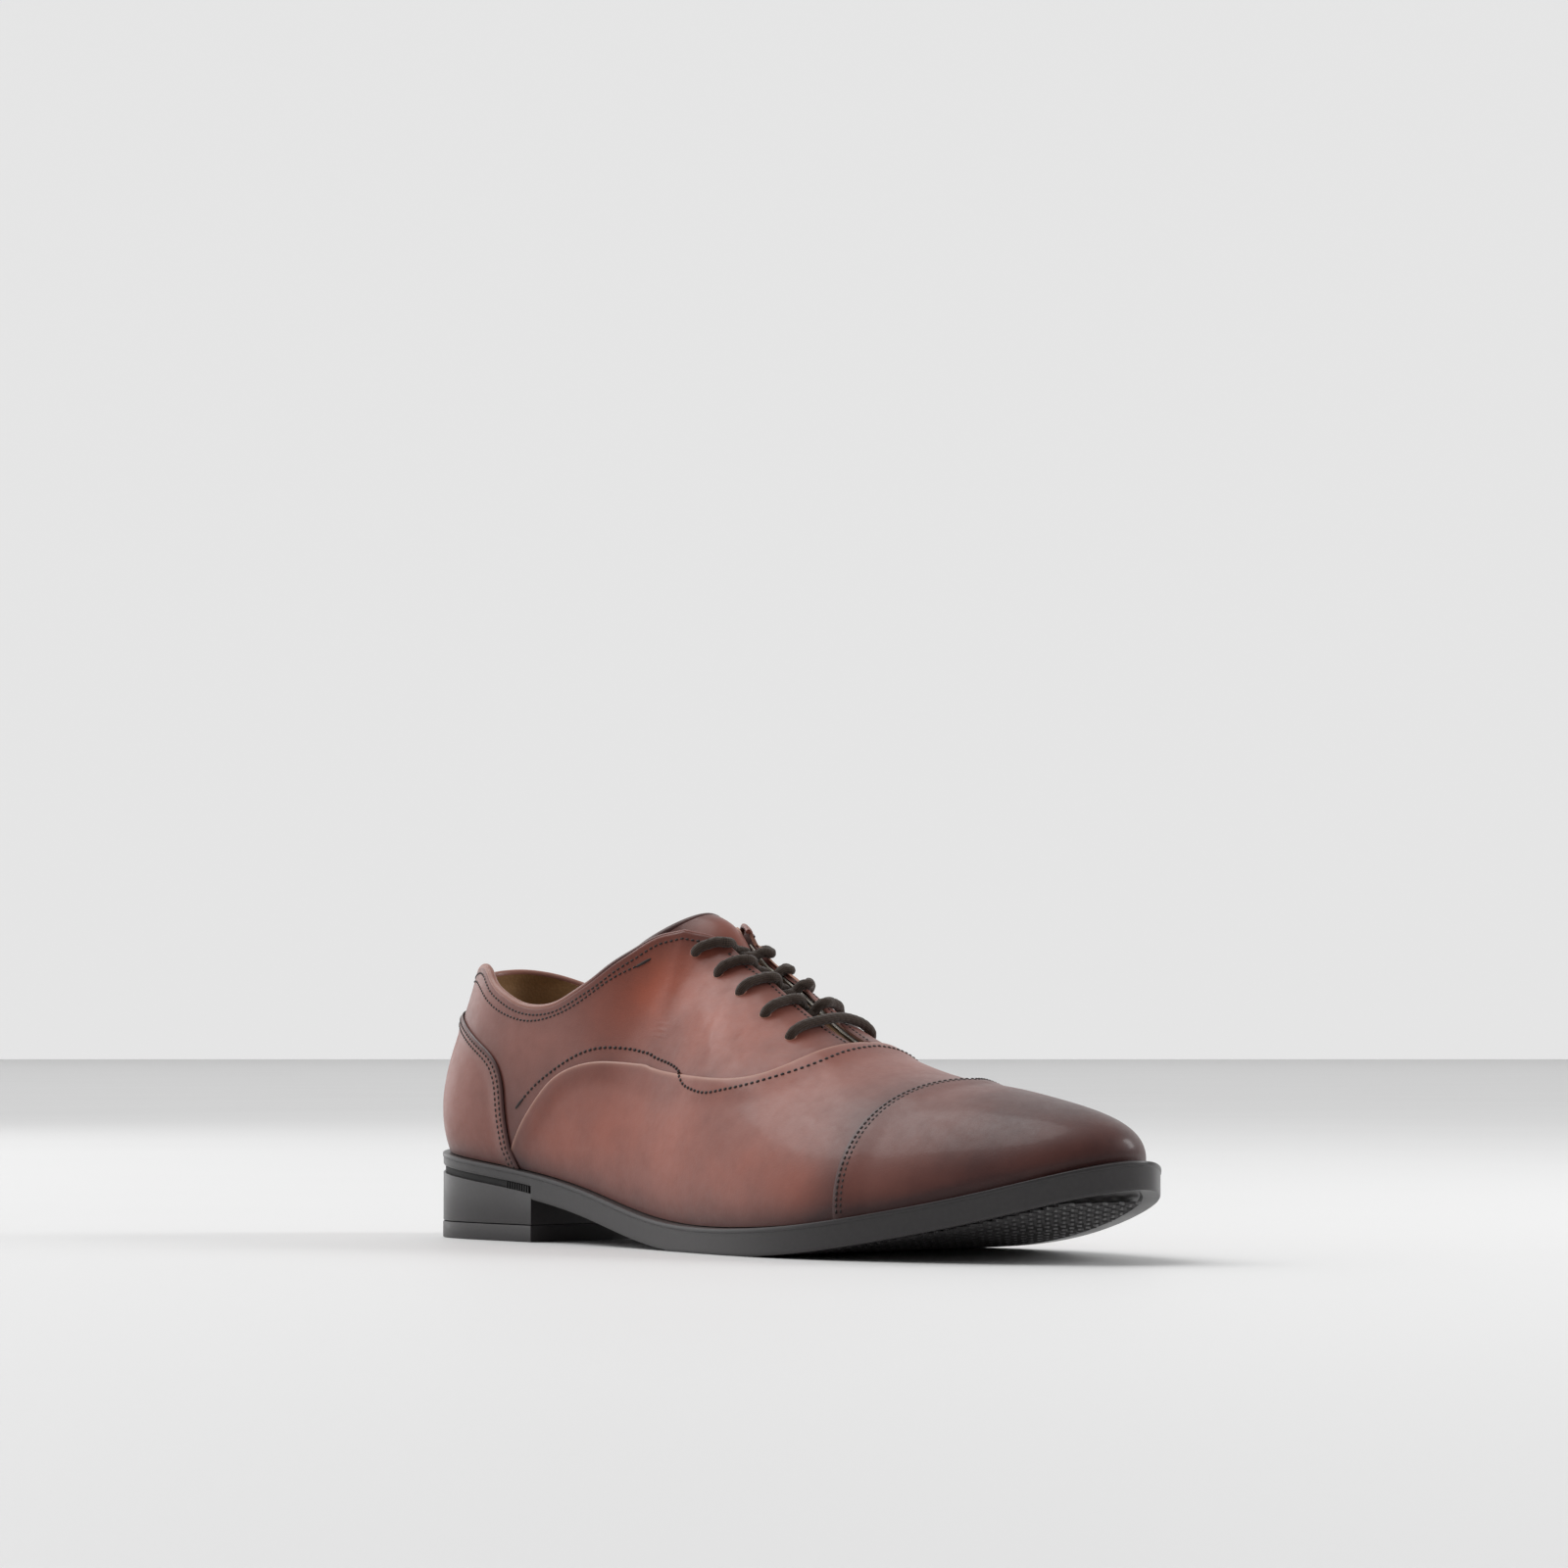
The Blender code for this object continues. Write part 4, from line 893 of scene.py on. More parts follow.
@made_once
def moulded(name, colour, rough, grain=700, strength=0.12, metallic=0.0):
    """Sole rubber, plastic, board and other plain stuff, with a faint texture and cloudy gloss."""
    material, surface = shader(name, Specular_IOR_Level=0.45, Metallic=metallic)
    place = where(surface)
    cloud, fine = noise(place, 40, 3, 0.6), noise(place, grain, 3, 0.6)
    patchy = levels(maths("ADD", cloud, fine), 0.6, 1.4)
    link(surface, Base_Color=blend_colour(patchy, darker(colour, 0.82), darker(colour, 1.15)),
         Roughness=levels(cloud, 0.3, 0.7, rough - 0.05, rough + 0.07))
    bumped(surface, fine, strength, 0.0001)
    return material


@made_once
def woven(name, colour, shade, pitch=0.0008):
    """Canvas and fabric: two sets of threads across each other."""
    material, surface = shader(name, Roughness=0.85, Specular_IOR_Level=0.2, Sheen_Weight=0.2)
    place = mapped(where(surface), Rotation=(0.3, 0.2, 0.6))
    bands = [add(surface.id_data, "ShaderNodeTexWave",
                 {"Vector": place, "Scale": 0.32 / pitch, "Distortion": 0.4},
                 bands_direction=way).outputs["Fac"] for way in ("X", "Z")]
    weave = maths("MULTIPLY", *bands)
    link(surface, Base_Color=blend_colour(weave, shade, colour))
    bumped(surface, weave, 0.5, 0.0002)
    return material


def upper_leather(colours):
    return leather_with_burnish_and_painted_light("upper_leather_finish", colours)


def tan_leather(colours):
    return soft_leather("lining_finish", colours.lining, darker(colours.lining, 0.6))


def raw_edge(colours):
    return soft_leather("raw_edge_finish", colours.edge, darker(colours.edge, 0.55))


# ---------------------------------------------------------------- leather panels

def build_vamp(colours, height):
    rear, swoop = counter_line(0.8), swoop_line()
    s, r = eased(150, 0.5), eased(64)
    cap = cap_edge(np.linspace(0, 1, 80), 1.5)
    seam = swoop.copy()
    seam[0] = crossing(rear[:3], seam)
    ridge = np.stack([np.linspace(station(THROAT + 2.4), cap[-1, 0], 60), np.ones(60)], 1)
    top = resample(np.concatenate([seam, ridge]), s)
    base_x = np.interp(reach(top[:, 0]), [54, 181, 190, 193.5, 246],
                       [58, 178, 188.5, 193, reach(cap[0, 0])])
    bottom = np.stack([station(base_x), np.zeros(len(top))], 1)
    bottom[0], bottom[-1], top[-1] = (rear[0, 0], 0), cap[0], cap[-1]
    grid = coons(bottom, top, straight(bottom[0], top[0], r), resample(cap, r), s, r, 6.0)

    def lift(places):
        x = reach(places[..., 0])
        return lapped(distance(places, seam), height * (0.35 + 0.65 * smooth(56, 80, x)), 7)

    def marks(places):
        # the seam also gets a painted highlight line (the pale mark)
        return burnish_and_painted_light(places, [(cap_edge(np.linspace(0, 1, 40)), 0.4, 6), (seam, 0.28, 7),
                                (counter_line(), 0.4, 5)], seam)
    piece = panel("vamp_leather", [on_side(grid, side) for side in BOTH], lift,
                  [upper_leather(colours)], marks)
    finished(piece, "upper_leather", ["vamp"])


def covering(name, grid, edge, height, fade, shade, colours):
    """A piece that laps over the leather beside it, with its cut edge inked dark and a painted shadow
    line on its face along that edge.
    """
    inked = moulded("cut_edge_finish", colours.thread, 0.6)
    return panel(name, [on_side(grid, side) for side in BOTH],
                 lambda places: lapped(distance(places, edge), height, fade),
                 [upper_leather(colours), inked],
                 # the second dark line, right at the edge, is a painted shadow line
                 lambda places: burnish_and_painted_light(places, [(edge, 0.3, shade), (edge, 0.9, 0.9)]))


def build_cap(colours, height):
    shares, rows = 1 - eased(60, 0.5), eased(50, 0.3)
    grid = np.stack([cap_edge(rows)[:, :1] * shares, np.repeat(rows[:, None], len(shares), 1)], -1)
    edge = cap_edge(np.linspace(0, 1, 80))
    finished(covering("cap_leather", grid, edge, height, 8, 6, colours), "upper_leather", ["toe_cap"])


def build_counter(colours, height):
    edge = counter_line()
    turn = int(np.argmin(np.abs(reach(edge[:, 0]) - COUNTER_CORNER)))
    s, r = eased(70, 0.6), eased(60, 0.6)
    left, top = resample(edge[:turn + 1], r), resample(edge[turn:], s)
    top[-1, 0] = 1
    left[0, 1] = 0
    grid = coons(straight(left[0], (1, 0), s), top, left, straight((1, 0), top[-1], r), s, r)
    finished(covering("counter_leather", grid[:, ::-1], edge, height, 7, 4, colours),
             "upper_leather", ["counter_cover"], "rear")


def quarter_grid(side, s, r):
    rear, seam = counter_line(1.5), shifted(swoop_line(), -1.2)
    corner = crossing(rear[:4], seam)
    rear = np.concatenate([corner[None], rear[rear[:, 1] > corner[1] + 0.01]])
    rear[-1, 0] = 1 - 0.0003
    keep = (reach(seam[:, 0]) < THROAT - 0.6) | (seam[:, 1] < 0.8)
    keep &= reach(seam[:, 0]) > reach(corner[0]) + 0.3
    bottom_line = np.concatenate([rear[::-1], seam[keep]])
    bottom = resample(bottom_line, s)
    turn = lengths_along(rear, SPREAD)[-1] / lengths_along(bottom_line, SPREAD)[-1]
    end = TOPLINE[side][-1][0]
    behind = np.interp(reach(bottom[:, 0]), [0, 54], [0, QUARTER_CORNER])
    ahead = QUARTER_CORNER + (s - turn) / (1 - turn) * (end - QUARTER_CORNER)
    line = path(TOPLINE[side], 400)
    top_x = np.where(s < turn, behind, ahead)
    top = np.stack([station(top_x), np.interp(top_x, reach(line[:, 0]), line[:, 1])], 1)
    right = facing_edge(side, reach(bottom[-1, 0]) + (end - reach(bottom[-1, 0])) * r)
    right[0] = bottom[-1]
    left = straight(bottom[0], (bottom[0, 0], top[0, 1]), r)
    top[0], top[-1] = left[-1], right[-1]
    return coons(bottom, top, left, right, s, r)


def build_quarters(colours, hole):
    finishes = [upper_leather(colours), raw_edge(colours)]
    for side, word in SIDES:
        front = facing_edge(side, np.linspace(THROAT, TOPLINE[side][-1][0], 40))
        topline = path(TOPLINE[side], 120)
        grid = quarter_grid(side, eased(170, 0.4), eased(60))

        def lift(places, front=front, topline=topline):
            far = np.minimum(distance(places, front), distance(places, topline))
            return -0.35 * np.clip(1 - far / 0.6, 0, 1) ** 2

        def marks(places, front=front, topline=topline):
            return burnish_and_painted_light(places, [(topline, 0.35, 5), (front, 0.3, 5), (counter_line(), 0.35, 6),
                                    (swoop_line(), 0.42, 8)])
        piece = panel("quarter_leather_" + word, [on_side(grid, side)], lift, finishes, marks)
        punched(piece, side, hole / 2)
        finished(piece, "upper_leather", ["quarter_" + word], "rear")


def eyelet_places():
    return path(EYELET_LINE, EYELET_ROWS)


def stood(primitive, u, t, depth):
    """Stands the primitive just added in the leather, square to its face."""
    way = Vector(facing_out(u, t))
    turn = Vector((0, 0, 1)).rotation_difference(way).to_matrix().to_4x4()
    turn.translation = Vector(placed(beneath(u, t, depth)))
    primitive.data.transform(turn)
    return primitive


def punched(piece, side, radius):
    """Cuts the lace holes with round pins."""
    for u, t in eyelet_places():
        clear_selection()
        bpy.ops.mesh.primitive_cylinder_add(vertices=28, radius=radius * MM, depth=8 * MM)
        pin = stood(bpy.context.object, side * u, t, 1.0)
        modified(piece, "BOOLEAN", operation="DIFFERENCE", solver="EXACT", object=pin)
        bpy.data.objects.remove(pin)
    softened(piece, 50)


def build_eyelet_rims(colours, hole):
    """The leather pressed up in a thin ring round each hole."""
    for side, word in SIDES:
        rims = []
        for u, t in eyelet_places():
            clear_selection()
            bpy.ops.mesh.primitive_torus_add(major_segments=36, minor_segments=8,
                                             major_radius=(hole / 2 + 0.12) * MM,
                                             minor_radius=0.2 * MM)
            rims.append(stood(bpy.context.object, side * u, t, 0.08))
            mark(rims[-1], warm=0.8, pale=0.7, dark=0.0)
        piece = joined("eyelet_rims_" + word, rims)
        dress(piece, upper_leather(colours))
        softened(piece, 80)
        finished(piece, "upper_leather", (), "rear")


def build_collar_edge(colours):
    """The rolled binding along the topline, from one facing round the heel to the other."""
    halves = []
    for side in BOTH:
        line = path(TOPLINE[side], 150)
        line[0] = 1 - 0.0001, line[0, 1]
        points = beneath(side * line[:, 0], line[:, 1], 1.35) + (0, 0, 0.1)
        halves.append(np.column_stack([points, reach(line[:, 0])]))
    centre = np.concatenate([halves[0][:0:-1], halves[1]])
    x, sides = centre[:, 3], 14
    piece = tube("collar_edge", centre[:, :3], 1.28 - 0.5 * smooth(90, 112, x), sides,
                 upper_leather(colours))
    x = x.repeat(sides)
    mark(piece, dark=0.15 + 0.55 * smooth(80, 92, x) * (1 - smooth(106, 114, x)), warm=0.0,
         pale=0.45 * (1 - smooth(60, 90, x)))
    finished(piece, "upper_leather", (), "rear")


# ---------------------------------------------------------------- linings and tongue

def lining_depth(places):
    """The lining lies close to the leather at the topline and behind the stiffener at the heel."""
    x, t = reach(places[..., 0]), places[..., 1]
    deep = DEEP_LINING_DEPTH + (LINING_DEPTH - DEEP_LINING_DEPTH) * smooth(84, 100, x)
    edge = topline_share(np.clip(x, 0, 131))
    close = smooth(edge - 0.16, edge - 0.03, t) * smooth(118, 106, x)
    return deep + (COLLAR_LINING_DEPTH - deep) * close


def lining_columns(side, xs, rows):
    """A grid whose columns stand at these distances, from near the sole to the topline or facing."""
    end = TOPLINE[side][-1][0]
    line = path(TOPLINE[side], 400)
    high = np.where(xs < end, np.interp(xs, reach(line[:, 0]), line[:, 1]),
                    facing_edge(side, np.maximum(xs, end))[:, 1])
    low = np.interp(xs, [0, 100, 150, 188], [0.02, 0.02, 0.25, 0.8])
    shares = eased(rows, 0.5)[:, None]
    return np.stack([np.broadcast_to(station(xs), (rows, len(xs))), low + (high - low) * shares], -1)


def build_linings(colours):
    def lining(name, grids, hidden):
        piece = panel(name, grids, lambda places: -lining_depth(places),
                      [tan_leather(colours), raw_edge(colours)], thickness=LINING)
        finished(piece, "lining_leather", hidden, "rear")
    back = [on_side(lining_columns(side, np.linspace(LINING_SEAM, 0, 70), 44)[:, ::-1], side)
            for side in BOTH]
    lining("heel_lining_leather", back, ["heel_lining"])
    for side, word in SIDES:
        grid = lining_columns(side, np.linspace(LINING_SEAM - 0.4, THROAT - 3, 130), 44)
        lining("quarter_lining_leather_" + word, [on_side(grid, side)], ["quarter_lining_" + word])
    seam = resample(path(VAMP_LINING_EDGE, 60), np.linspace(0, 1, 40))
    seam = np.concatenate([seam, [[seam[-1, 0] - 0.01, 1.0]]])
    columns = 60
    grid = np.stack([seam[:, :1] * np.linspace(1, 0, columns), np.repeat(seam[:, 1:], columns, 1)], -1)
    fabric = woven("lining_fabric_finish", (0.6, 0.5, 0.36), (0.4, 0.31, 0.2))
    piece = panel("vamp_lining_fabric", [on_side(grid, side) for side in BOTH],
                  lambda places: np.full(places.shape[:-1], -DEEP_LINING_DEPTH), [fabric],
                  thickness=LINING)
    finished(piece, "lining_fabric", ["vamp_lining"])


def tongue_depth(x, high_from):
    """Close behind the quarters at its top, and under the lace in front of that."""
    drop = TONGUE_DEPTH + 1.4 - TONGUE_TOP_DEPTH
    return TONGUE_TOP_DEPTH + drop * smooth(high_from, high_from + 13, x)


def tongue_points(rows, columns_across):
    """The tongue's upper face, from its root to its top edge, and the normals there."""
    share = np.linspace(0, 1, rows)
    middle_x = TONGUE_ROOT - 4 - (TONGUE_ROOT - 4 - TONGUE_TOP) * share
    side_x = 186 - (186 - 100) * share
    side_t = np.interp(side_x, [100, 106, 116, 140, 186], [0.86, 0.77, 0.66, 0.58, 0.7])
    peak_t = np.interp(side_x, [100, 112], [0.965, 0.92])
    columns = [ridge_place(middle_x, TONGUE_DEPTH + tongue_sit(middle_x))]
    for part in (0.5, 1.0):
        x = middle_x + (side_x - middle_x) * part
        t = peak_t + (side_t - peak_t) * part
        for side in BOTH:
            spot = beneath(side * station(x), t, tongue_depth(x, 121 if part < 1 else 100))
            columns.insert(0 if side == LATERAL_SIDE else len(columns), spot)
    across = np.linspace(0, len(columns) - 1, columns_across)
    points = np.array([curve_through(range(len(columns)), row)(across)
                       for row in np.stack(columns, 1)])
    normals = np.cross(np.gradient(points, axis=1), np.gradient(points, axis=0))
    normals *= np.sign(normals[rows // 2, columns_across // 2, 2])
    return points, unit(normals)


def build_tongue(colours):
    leather = upper_leather(colours)
    rows, across = 70, 50
    points, normals = tongue_points(rows, across)
    near_top = np.repeat(np.linspace(0, 1, rows), across)
    # dark at the bound top edge, and painted shade towards the root, where the tongue lies under the
    # lace
    dark = 0.15 + 0.5 * smooth(0.9, 1, near_top) + 0.3 * smooth(0.7, 0.2, near_top)
    face = carried("tongue_leather", points, {"dark": dark, "warm": 0.1, "pale": 0.0})
    back = carried("tongue_lining_leather", points - normals * (TONGUE + 0.2))
    for piece, material, thickness, slot, hidden in (
            (face, leather, TONGUE, "upper_leather", "tongue"),
            (back, tan_leather(colours), TONGUE_LINING, "lining_leather", "tongue_lining")):
        dress(piece, material)
        modified(piece, "SOLIDIFY", thickness=thickness * MM, offset=-1)
        softened(piece, 50)
        finished(piece, slot, [hidden], "tongue")
    top = smooth_route(points[-1] - normals[-1] * 1.5, 0.8)
    top_edge = tube("tongue_binding", top, 1.75, 14, leather)
    mark(top_edge, dark=0.95, warm=0.0, pale=0.0)
    finished(top_edge, "upper_leather", (), "tongue")


# ---------------------------------------------------------------- stitching

def build_stitching(colours, height, pitch):
    dark = moulded("thread_finish", colours.thread, 0.55, 3000, 0.5)

    def stitches(name, rows, step, radius, cover=0.72, body="rear"):
        finished(sewn(name, rows, step, radius, dark, cover), "lace_cord", (), body)
    counter, cap, collar = [], [], []
    for side in BOTH:
        for far in STITCH_ROWS:
            counter.append((side, shifted(counter_line(), far), lapped(far, height, 7)))
            cap.append((side, cap_edge(np.linspace(0.02, 1, 90), far), lapped(far, height, 8)))
        topline = path(TOPLINE[side], 200)
        second = path(COLLAR_STITCHES, 200) if side == LATERAL_SIDE else shifted(topline[:150], -6.5)
        front = facing_edge(side, np.linspace(THROAT - 1.5, TOPLINE[side][-1][0] + 2, 80), 2.0)
        collar += [(side, line, 0.0) for line in (shifted(topline, -1.9), second, front)]
    stitches("stitches_counter", counter, pitch, COUNTER_THREAD)
    stitches("stitches_cap", cap, pitch, CAP_THREAD, body=None)
    line, swoop = path(SWOOP_STITCHES, 300), swoop_line()
    x = reach(line[:, 0])
    under = line[:, 1] < np.interp(x, reach(swoop[:, 0]), swoop[:, 1]) + 0.004
    on_vamp = np.where(under | (x > 150), lapped(distance(line, swoop), height, 7), 0)
    swoop_rows = [(side, line, on_vamp) for side in BOTH]
    stitches("stitches_swoop", swoop_rows, pitch * 1.15, SWOOP_THREAD, 0.66, None)
    stitches("stitches_collar", collar, pitch, COLLAR_THREAD)
    tacks = [(side, path(tack, 20), 0.05) for side in BOTH for tack in (COLLAR_TACK, SWOOP_TACK)]
    stitches("bar_tacks", tacks, TACK_LENGTH, TACK_THREAD, 0.95)


# ---------------------------------------------------------------- lace

def lace_row(row):
    """Where a row of the lace crosses the gap: its station, and each edge's height share there."""
    u = eyelet_places()[row][0]
    x = reach(u) + 9.5 - 6.5 * row / (EYELET_ROWS - 1)
    shares = {side: float(share_at_width(x, side, facing_width[side](x))) for side in BOTH}
    return float(station(x)), shares


def across_gap(row, own, above):
    """Out of this side's eyelet, over its edge, and down under the other facing."""
    other = -own
    u, shares = lace_row(row)
    hole_u, hole_t = eyelet_places()[row]
    u = station(reach(u) + 1.5 * own)
    own_t, other_t = shares[own], shares[other]
    way = unit(upper(other * u, other_t) - upper(own * u, own_t))
    tucked = u, other_t - 0.045
    points = [beneath(own * (hole_u + (u - hole_u) * part), hole_t + (own_t - hole_t) * part, above)
              for part in (0.25, 0.5, 0.75)]
    points += [beneath(own * u, own_t - 0.01, above),
               beneath(own * u, own_t, above + 0.9) + way * 1.5,
               beneath(own * u, own_t, 2.0) + way * 2.9,
               beneath(other * u, other_t, 3.5) - way * 2.4,
               beneath(other * u, other_t, LACE_DEPTH - 0.3) - way * 1.1,
               beneath(other * u, tucked[1], LACE_DEPTH + 0.3)]
    return points, tucked


def through_hole(row, side, above):
    """Points of the lace in an eyelet, from the inside out."""
    u, t = eyelet_places()[row]
    return [beneath(side * u, t, depth) for depth in (LACE_DEPTH, 2.2, above + 1.6)]


def lace_half(side, above):
    """From the bar's eyelet up to the tucked end, in order."""
    places = eyelet_places()
    points = through_hole(EYELET_ROWS - 1, side, above)[::-1]
    start = places[EYELET_ROWS - 1]
    at = side
    for row in range(EYELET_ROWS - 2, -1, -1):
        halfway = (np.asarray(start) + places[row]) / 2
        points.append(beneath(at * halfway[0], halfway[1], LACE_DEPTH + 0.3))
        points += through_hole(row, at, above)
        over, start = across_gap(row, at, above)
        points += over
        at = -at
    top_t = places[0][1]
    for x, t in ((reach(start[0]) - 9, top_t - 0.06), (117, top_t - 0.14),
                 (114.5, top_t - 0.24)):
        points.append(beneath(at * station(x), t, LACE_DEPTH))
    return points


def lace_route(radius):
    """Points of the lace, from one tucked end to the other.

    The bar lies across the lowest row. Each half then climbs inside to the next row, comes out,
    crosses the gap and dives under the other facing, up to the tucked end under the top row.
    """
    above = -(radius + 0.1)
    lateral, medial = lace_half(LATERAL_SIDE, above), lace_half(MEDIAL_SIDE, above)
    u, shares = lace_row(EYELET_ROWS - 1)
    hole_u, hole_t = eyelet_places()[EYELET_ROWS - 1]
    bar = []
    for side in BOTH:
        ends = [beneath(side * (hole_u + (u - hole_u) * part),
                        hole_t + (shares[side] - hole_t) * part, above - 0.2 * part)
                for part in (0.3, 0.6, 0.95)]
        bar += ends if side == LATERAL_SIDE else ends[::-1]
    return np.array(lateral[::-1] + bar + medial)


def build_lace(colours, diameter):
    cord = braided("lace_finish", colours.lace, darker(colours.lace, 0.35))
    plastic = moulded("aglet_finish", darker(colours.lace, 0.5), 0.3)
    radius = diameter / 2
    route = smooth_route(lace_route(radius), 0.42)

    def braid(angle, along):
        return 0.09 * np.maximum(np.sin(4 * angle + along * 2.6), np.sin(-4 * angle + along * 2.6))
    finished(tube("lace_braid", route, radius, 20, cord, braid), "lace_cord", ["lace"], "rear")
    for word, end, before in (("lateral", route[0], route[6]), ("medial", route[-1], route[-7])):
        way = unit(end - before)
        along = np.array([-1.0, -0.8, 0, 6, 12, 16.6, 17, 17.2])
        size = radius + np.array([0, 0.12, 0.14, 0.12, 0.12, 0.1, -0.1, -0.6])
        piece = tube("aglet_tip_" + word, end + way * along[:, None], size, 20, plastic)
        finished(piece, "aglet_plastic", ["aglet_" + word], "rear")


# ---------------------------------------------------------------- sole and heel

def build_sole(colours):
    rubber = moulded("sole_finish", colours.sole, 0.34)

    def section(x):
        top = float(rim_top(x))
        heel = x < HEEL_LENGTH
        low = top - HEEL_SEAT if heel else float(tread(x))
        recess = 0.0 if heel else 0.6
        return [(6.2, low + recess), (5.4, low), (1.3, low), (0.55, low + 0.12), (0.3, low + 0.5),
                (0.28, low + 1.0), (0.26, top - 1.75), (0.24, top - 1.5), (0.04, top - 1.3),
                (0.0, top - 1.0), (0.0, top - 0.55), (0.12, top - 0.22), (0.45, top - 0.03),
                (1.0, top), (9.0, top)]
    heel_front = station(HEEL_LENGTH + np.array([-0.125, 0.125]))
    stations = np.sort(np.concatenate([np.linspace(0, 1, 300), heel_front]))
    piece = loft("sole_unit", stations, section, rubber, 14)
    finished(piece, "sole", ["outsole_rear", "outsole_forepart", "heel_seat", "welt"])
    build_tread(rubber)


def build_tread(rubber):
    """Zigzag ribs that fill the sole's recess in rows across it."""
    points, faces = [], []
    width, rise = 1.7, 0.75
    for x in np.arange(HEEL_LENGTH + 12, 288, 3.4):
        half = [abs(float(outline_y(side * station(x)))) - 7.5 for side in BOTH]
        ys = np.arange(-half[0], half[1], 1.7)
        zig = 1.3 * np.abs((ys / 3.4) % 2 - 1)
        faces += counted_from(len(points), ring_faces(len(ys), 4) + ring_ends(len(ys), 4))
        for y, shift in zip(ys, zig):
            low = float(tread(x + shift))
            for along, z in ((-width / 2, low + rise), (-width / 2 + 0.2, low),
                             (width / 2 - 0.2, low), (width / 2, low + rise)):
                points.append((x + shift + along, y, z))
    piece = from_arrays("tread_ribs", points, faces, rubber)
    edit(piece, face_outwards)
    finished(piece, "sole")


def build_heel(colours):
    rubber = moulded("sole_finish", colours.sole, 0.34)
    dark = moulded("heel_band_finish", darker(colours.sole, 0.25), 0.7)
    cap = moulded("top_piece_finish", darker(colours.sole, 1.05), 0.48)
    stations = np.linspace(float(station(HEEL_LENGTH)), 1, 110)

    def seat_low(x):
        return float(rim_top(x)) - HEEL_SEAT

    def slab(name, low, high, inset, corner, material, slot, hidden):
        def section(x):
            half = [(1.2, 0), (0.35, 0.3), (0, 1)]
            return ([(inset + corner * a, low(x) + corner * b) for a, b in half]
                    + [(inset + corner * a, high(x) - corner * b) for a, b in half[::-1]])
        finished(loft(name, stations, section, material), slot, [hidden], "rear")
    slab("heel_stripe", lambda x: seat_low(x) - BAND - 0.2, lambda x: seat_low(x) + 0.1, 1.0, 0.15,
         dark, "heel_band", "heel_band")
    slab("heel_stack", lambda x: TOP_PIECE + 0.12, lambda x: seat_low(x) - BAND, 0.28, 0.3,
         rubber, "sole", "heel_block")
    slab("heel_top_piece", lambda x: 0.02, lambda x: TOP_PIECE - 0.1, 0.2, 0.3,
         cap, "top_piece", "top_piece")
    points, faces = [], []
    for side in BOTH:
        for x in np.arange(HEEL_LENGTH - 13, HEEL_LENGTH - 0.5, 1.25):
            u = side * station(np.array([x - 0.3, x + 0.3]))
            outer, inner = outline(u, np.full(2, 0.35))[0], outline(u, np.full(2, 1.6))[0]
            low, high = seat_low(x) - BAND + 0.05, seat_low(x) - 0.1
            faces += counted_from(len(points), ((0, 1, 3, 2), (2, 3, 5, 4), (4, 5, 7, 6),
                                                (6, 7, 1, 0), (0, 2, 4, 6), (1, 7, 5, 3)))
            for pair, z in ((outer, low), (inner, low), (inner, high), (outer, high)):
                points += [(*pair[0], z), (*pair[1], z)]
    piece = from_arrays("heel_stripe_ribs", points, faces, dark)
    edit(piece, face_outwards)
    finished(piece, "heel_band", (), "rear")


def build_inside(colours):
    """What lies under the foot, in fine rings along its length."""
    def clear(x):
        return float(inset_curve(x)) + DEEP_LINING_DEPTH + LINING + 1.0

    def board_top(x):
        return float(rim_top(x)) + GAP + INSOLE

    def sock_low(x):
        return board_top(x) + GAP + (HEEL_PAD + GAP) * float(smooth(114, 92, x))

    def layer(name, start, end, inset, low, high, material, slot, hidden):
        def section(x):
            return [(inset(x) + 0.3, low(x)), (inset(x), low(x) + 0.25),
                    (inset(x), high(x) - 0.25), (inset(x) + 0.3, high(x))]
        stations = np.linspace(float(station(end)), float(station(start)), 90)
        finished(loft(name, stations, section, material), slot, [hidden])
    layer("insole_board_fibre", 8, LENGTH - 10, clear, lambda x: float(rim_top(x)) + GAP, board_top,
          soft_leather("board_finish", (0.35, 0.24, 0.14), (0.22, 0.14, 0.08)),
          "board", "insole_board")
    layer("sock_leather", 8, LENGTH - 11, lambda x: clear(x) + 0.6, sock_low,
          lambda x: sock_low(x) + SOCK,
          soft_leather("sock_finish", darker(colours.lining, 0.9), darker(colours.lining, 0.5)),
          "sock_leather", "sock_lining")
    layer("cork_layer", 156, 286, lambda x: 9.8, lambda x: float(rim_top(x)) - WELT,
          lambda x: float(rim_top(x)) - 0.3,
          soft_leather("cork_finish", (0.3, 0.18, 0.09), (0.14, 0.08, 0.04), 300, 0.85),
          "cork", "cork_filler")


def dress_parts():
    """Finishes for the parts that stay as they were made."""
    stiff = woven("stiffener_finish", (0.62, 0.57, 0.48), (0.42, 0.38, 0.3))
    canvas = woven("canvas_finish", (0.78, 0.76, 0.7), (0.55, 0.52, 0.45))
    metal = moulded("eyelet_finish", (0.35, 0.2, 0.1), 0.35, 900, 0.1, 1.0)
    steel = moulded("shank_finish", (0.55, 0.55, 0.56), 0.32, 600, 0.1, 1.0)
    foam = soft_leather("foam_finish", (0.75, 0.7, 0.6), (0.55, 0.5, 0.42), 700, 0.9)
    finishes = {"toe_puff": stiff, "heel_stiffener": stiff, "heel_pad": foam, "shank": steel}
    for _, word in SIDES:
        finishes["facing_stay_" + word] = canvas
        finishes.update({f"eyelet_{word}_{row + 1}": metal for row in range(EYELET_ROWS)})
    for name, material in finishes.items():
        dress(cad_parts[name], material)


# ---------------------------------------------------------------- stage

def studio_plane(name, size, material, turn=None):
    clear_selection()
    bpy.ops.mesh.primitive_plane_add(size=size)
    plane = bpy.context.object
    plane.name = name
    if turn:
        plane.data.transform(turn)
    dress(plane, material)


def aimed(item, way):
    item.rotation_euler = Vector(way).to_track_quat("-Z", "Y").to_euler()


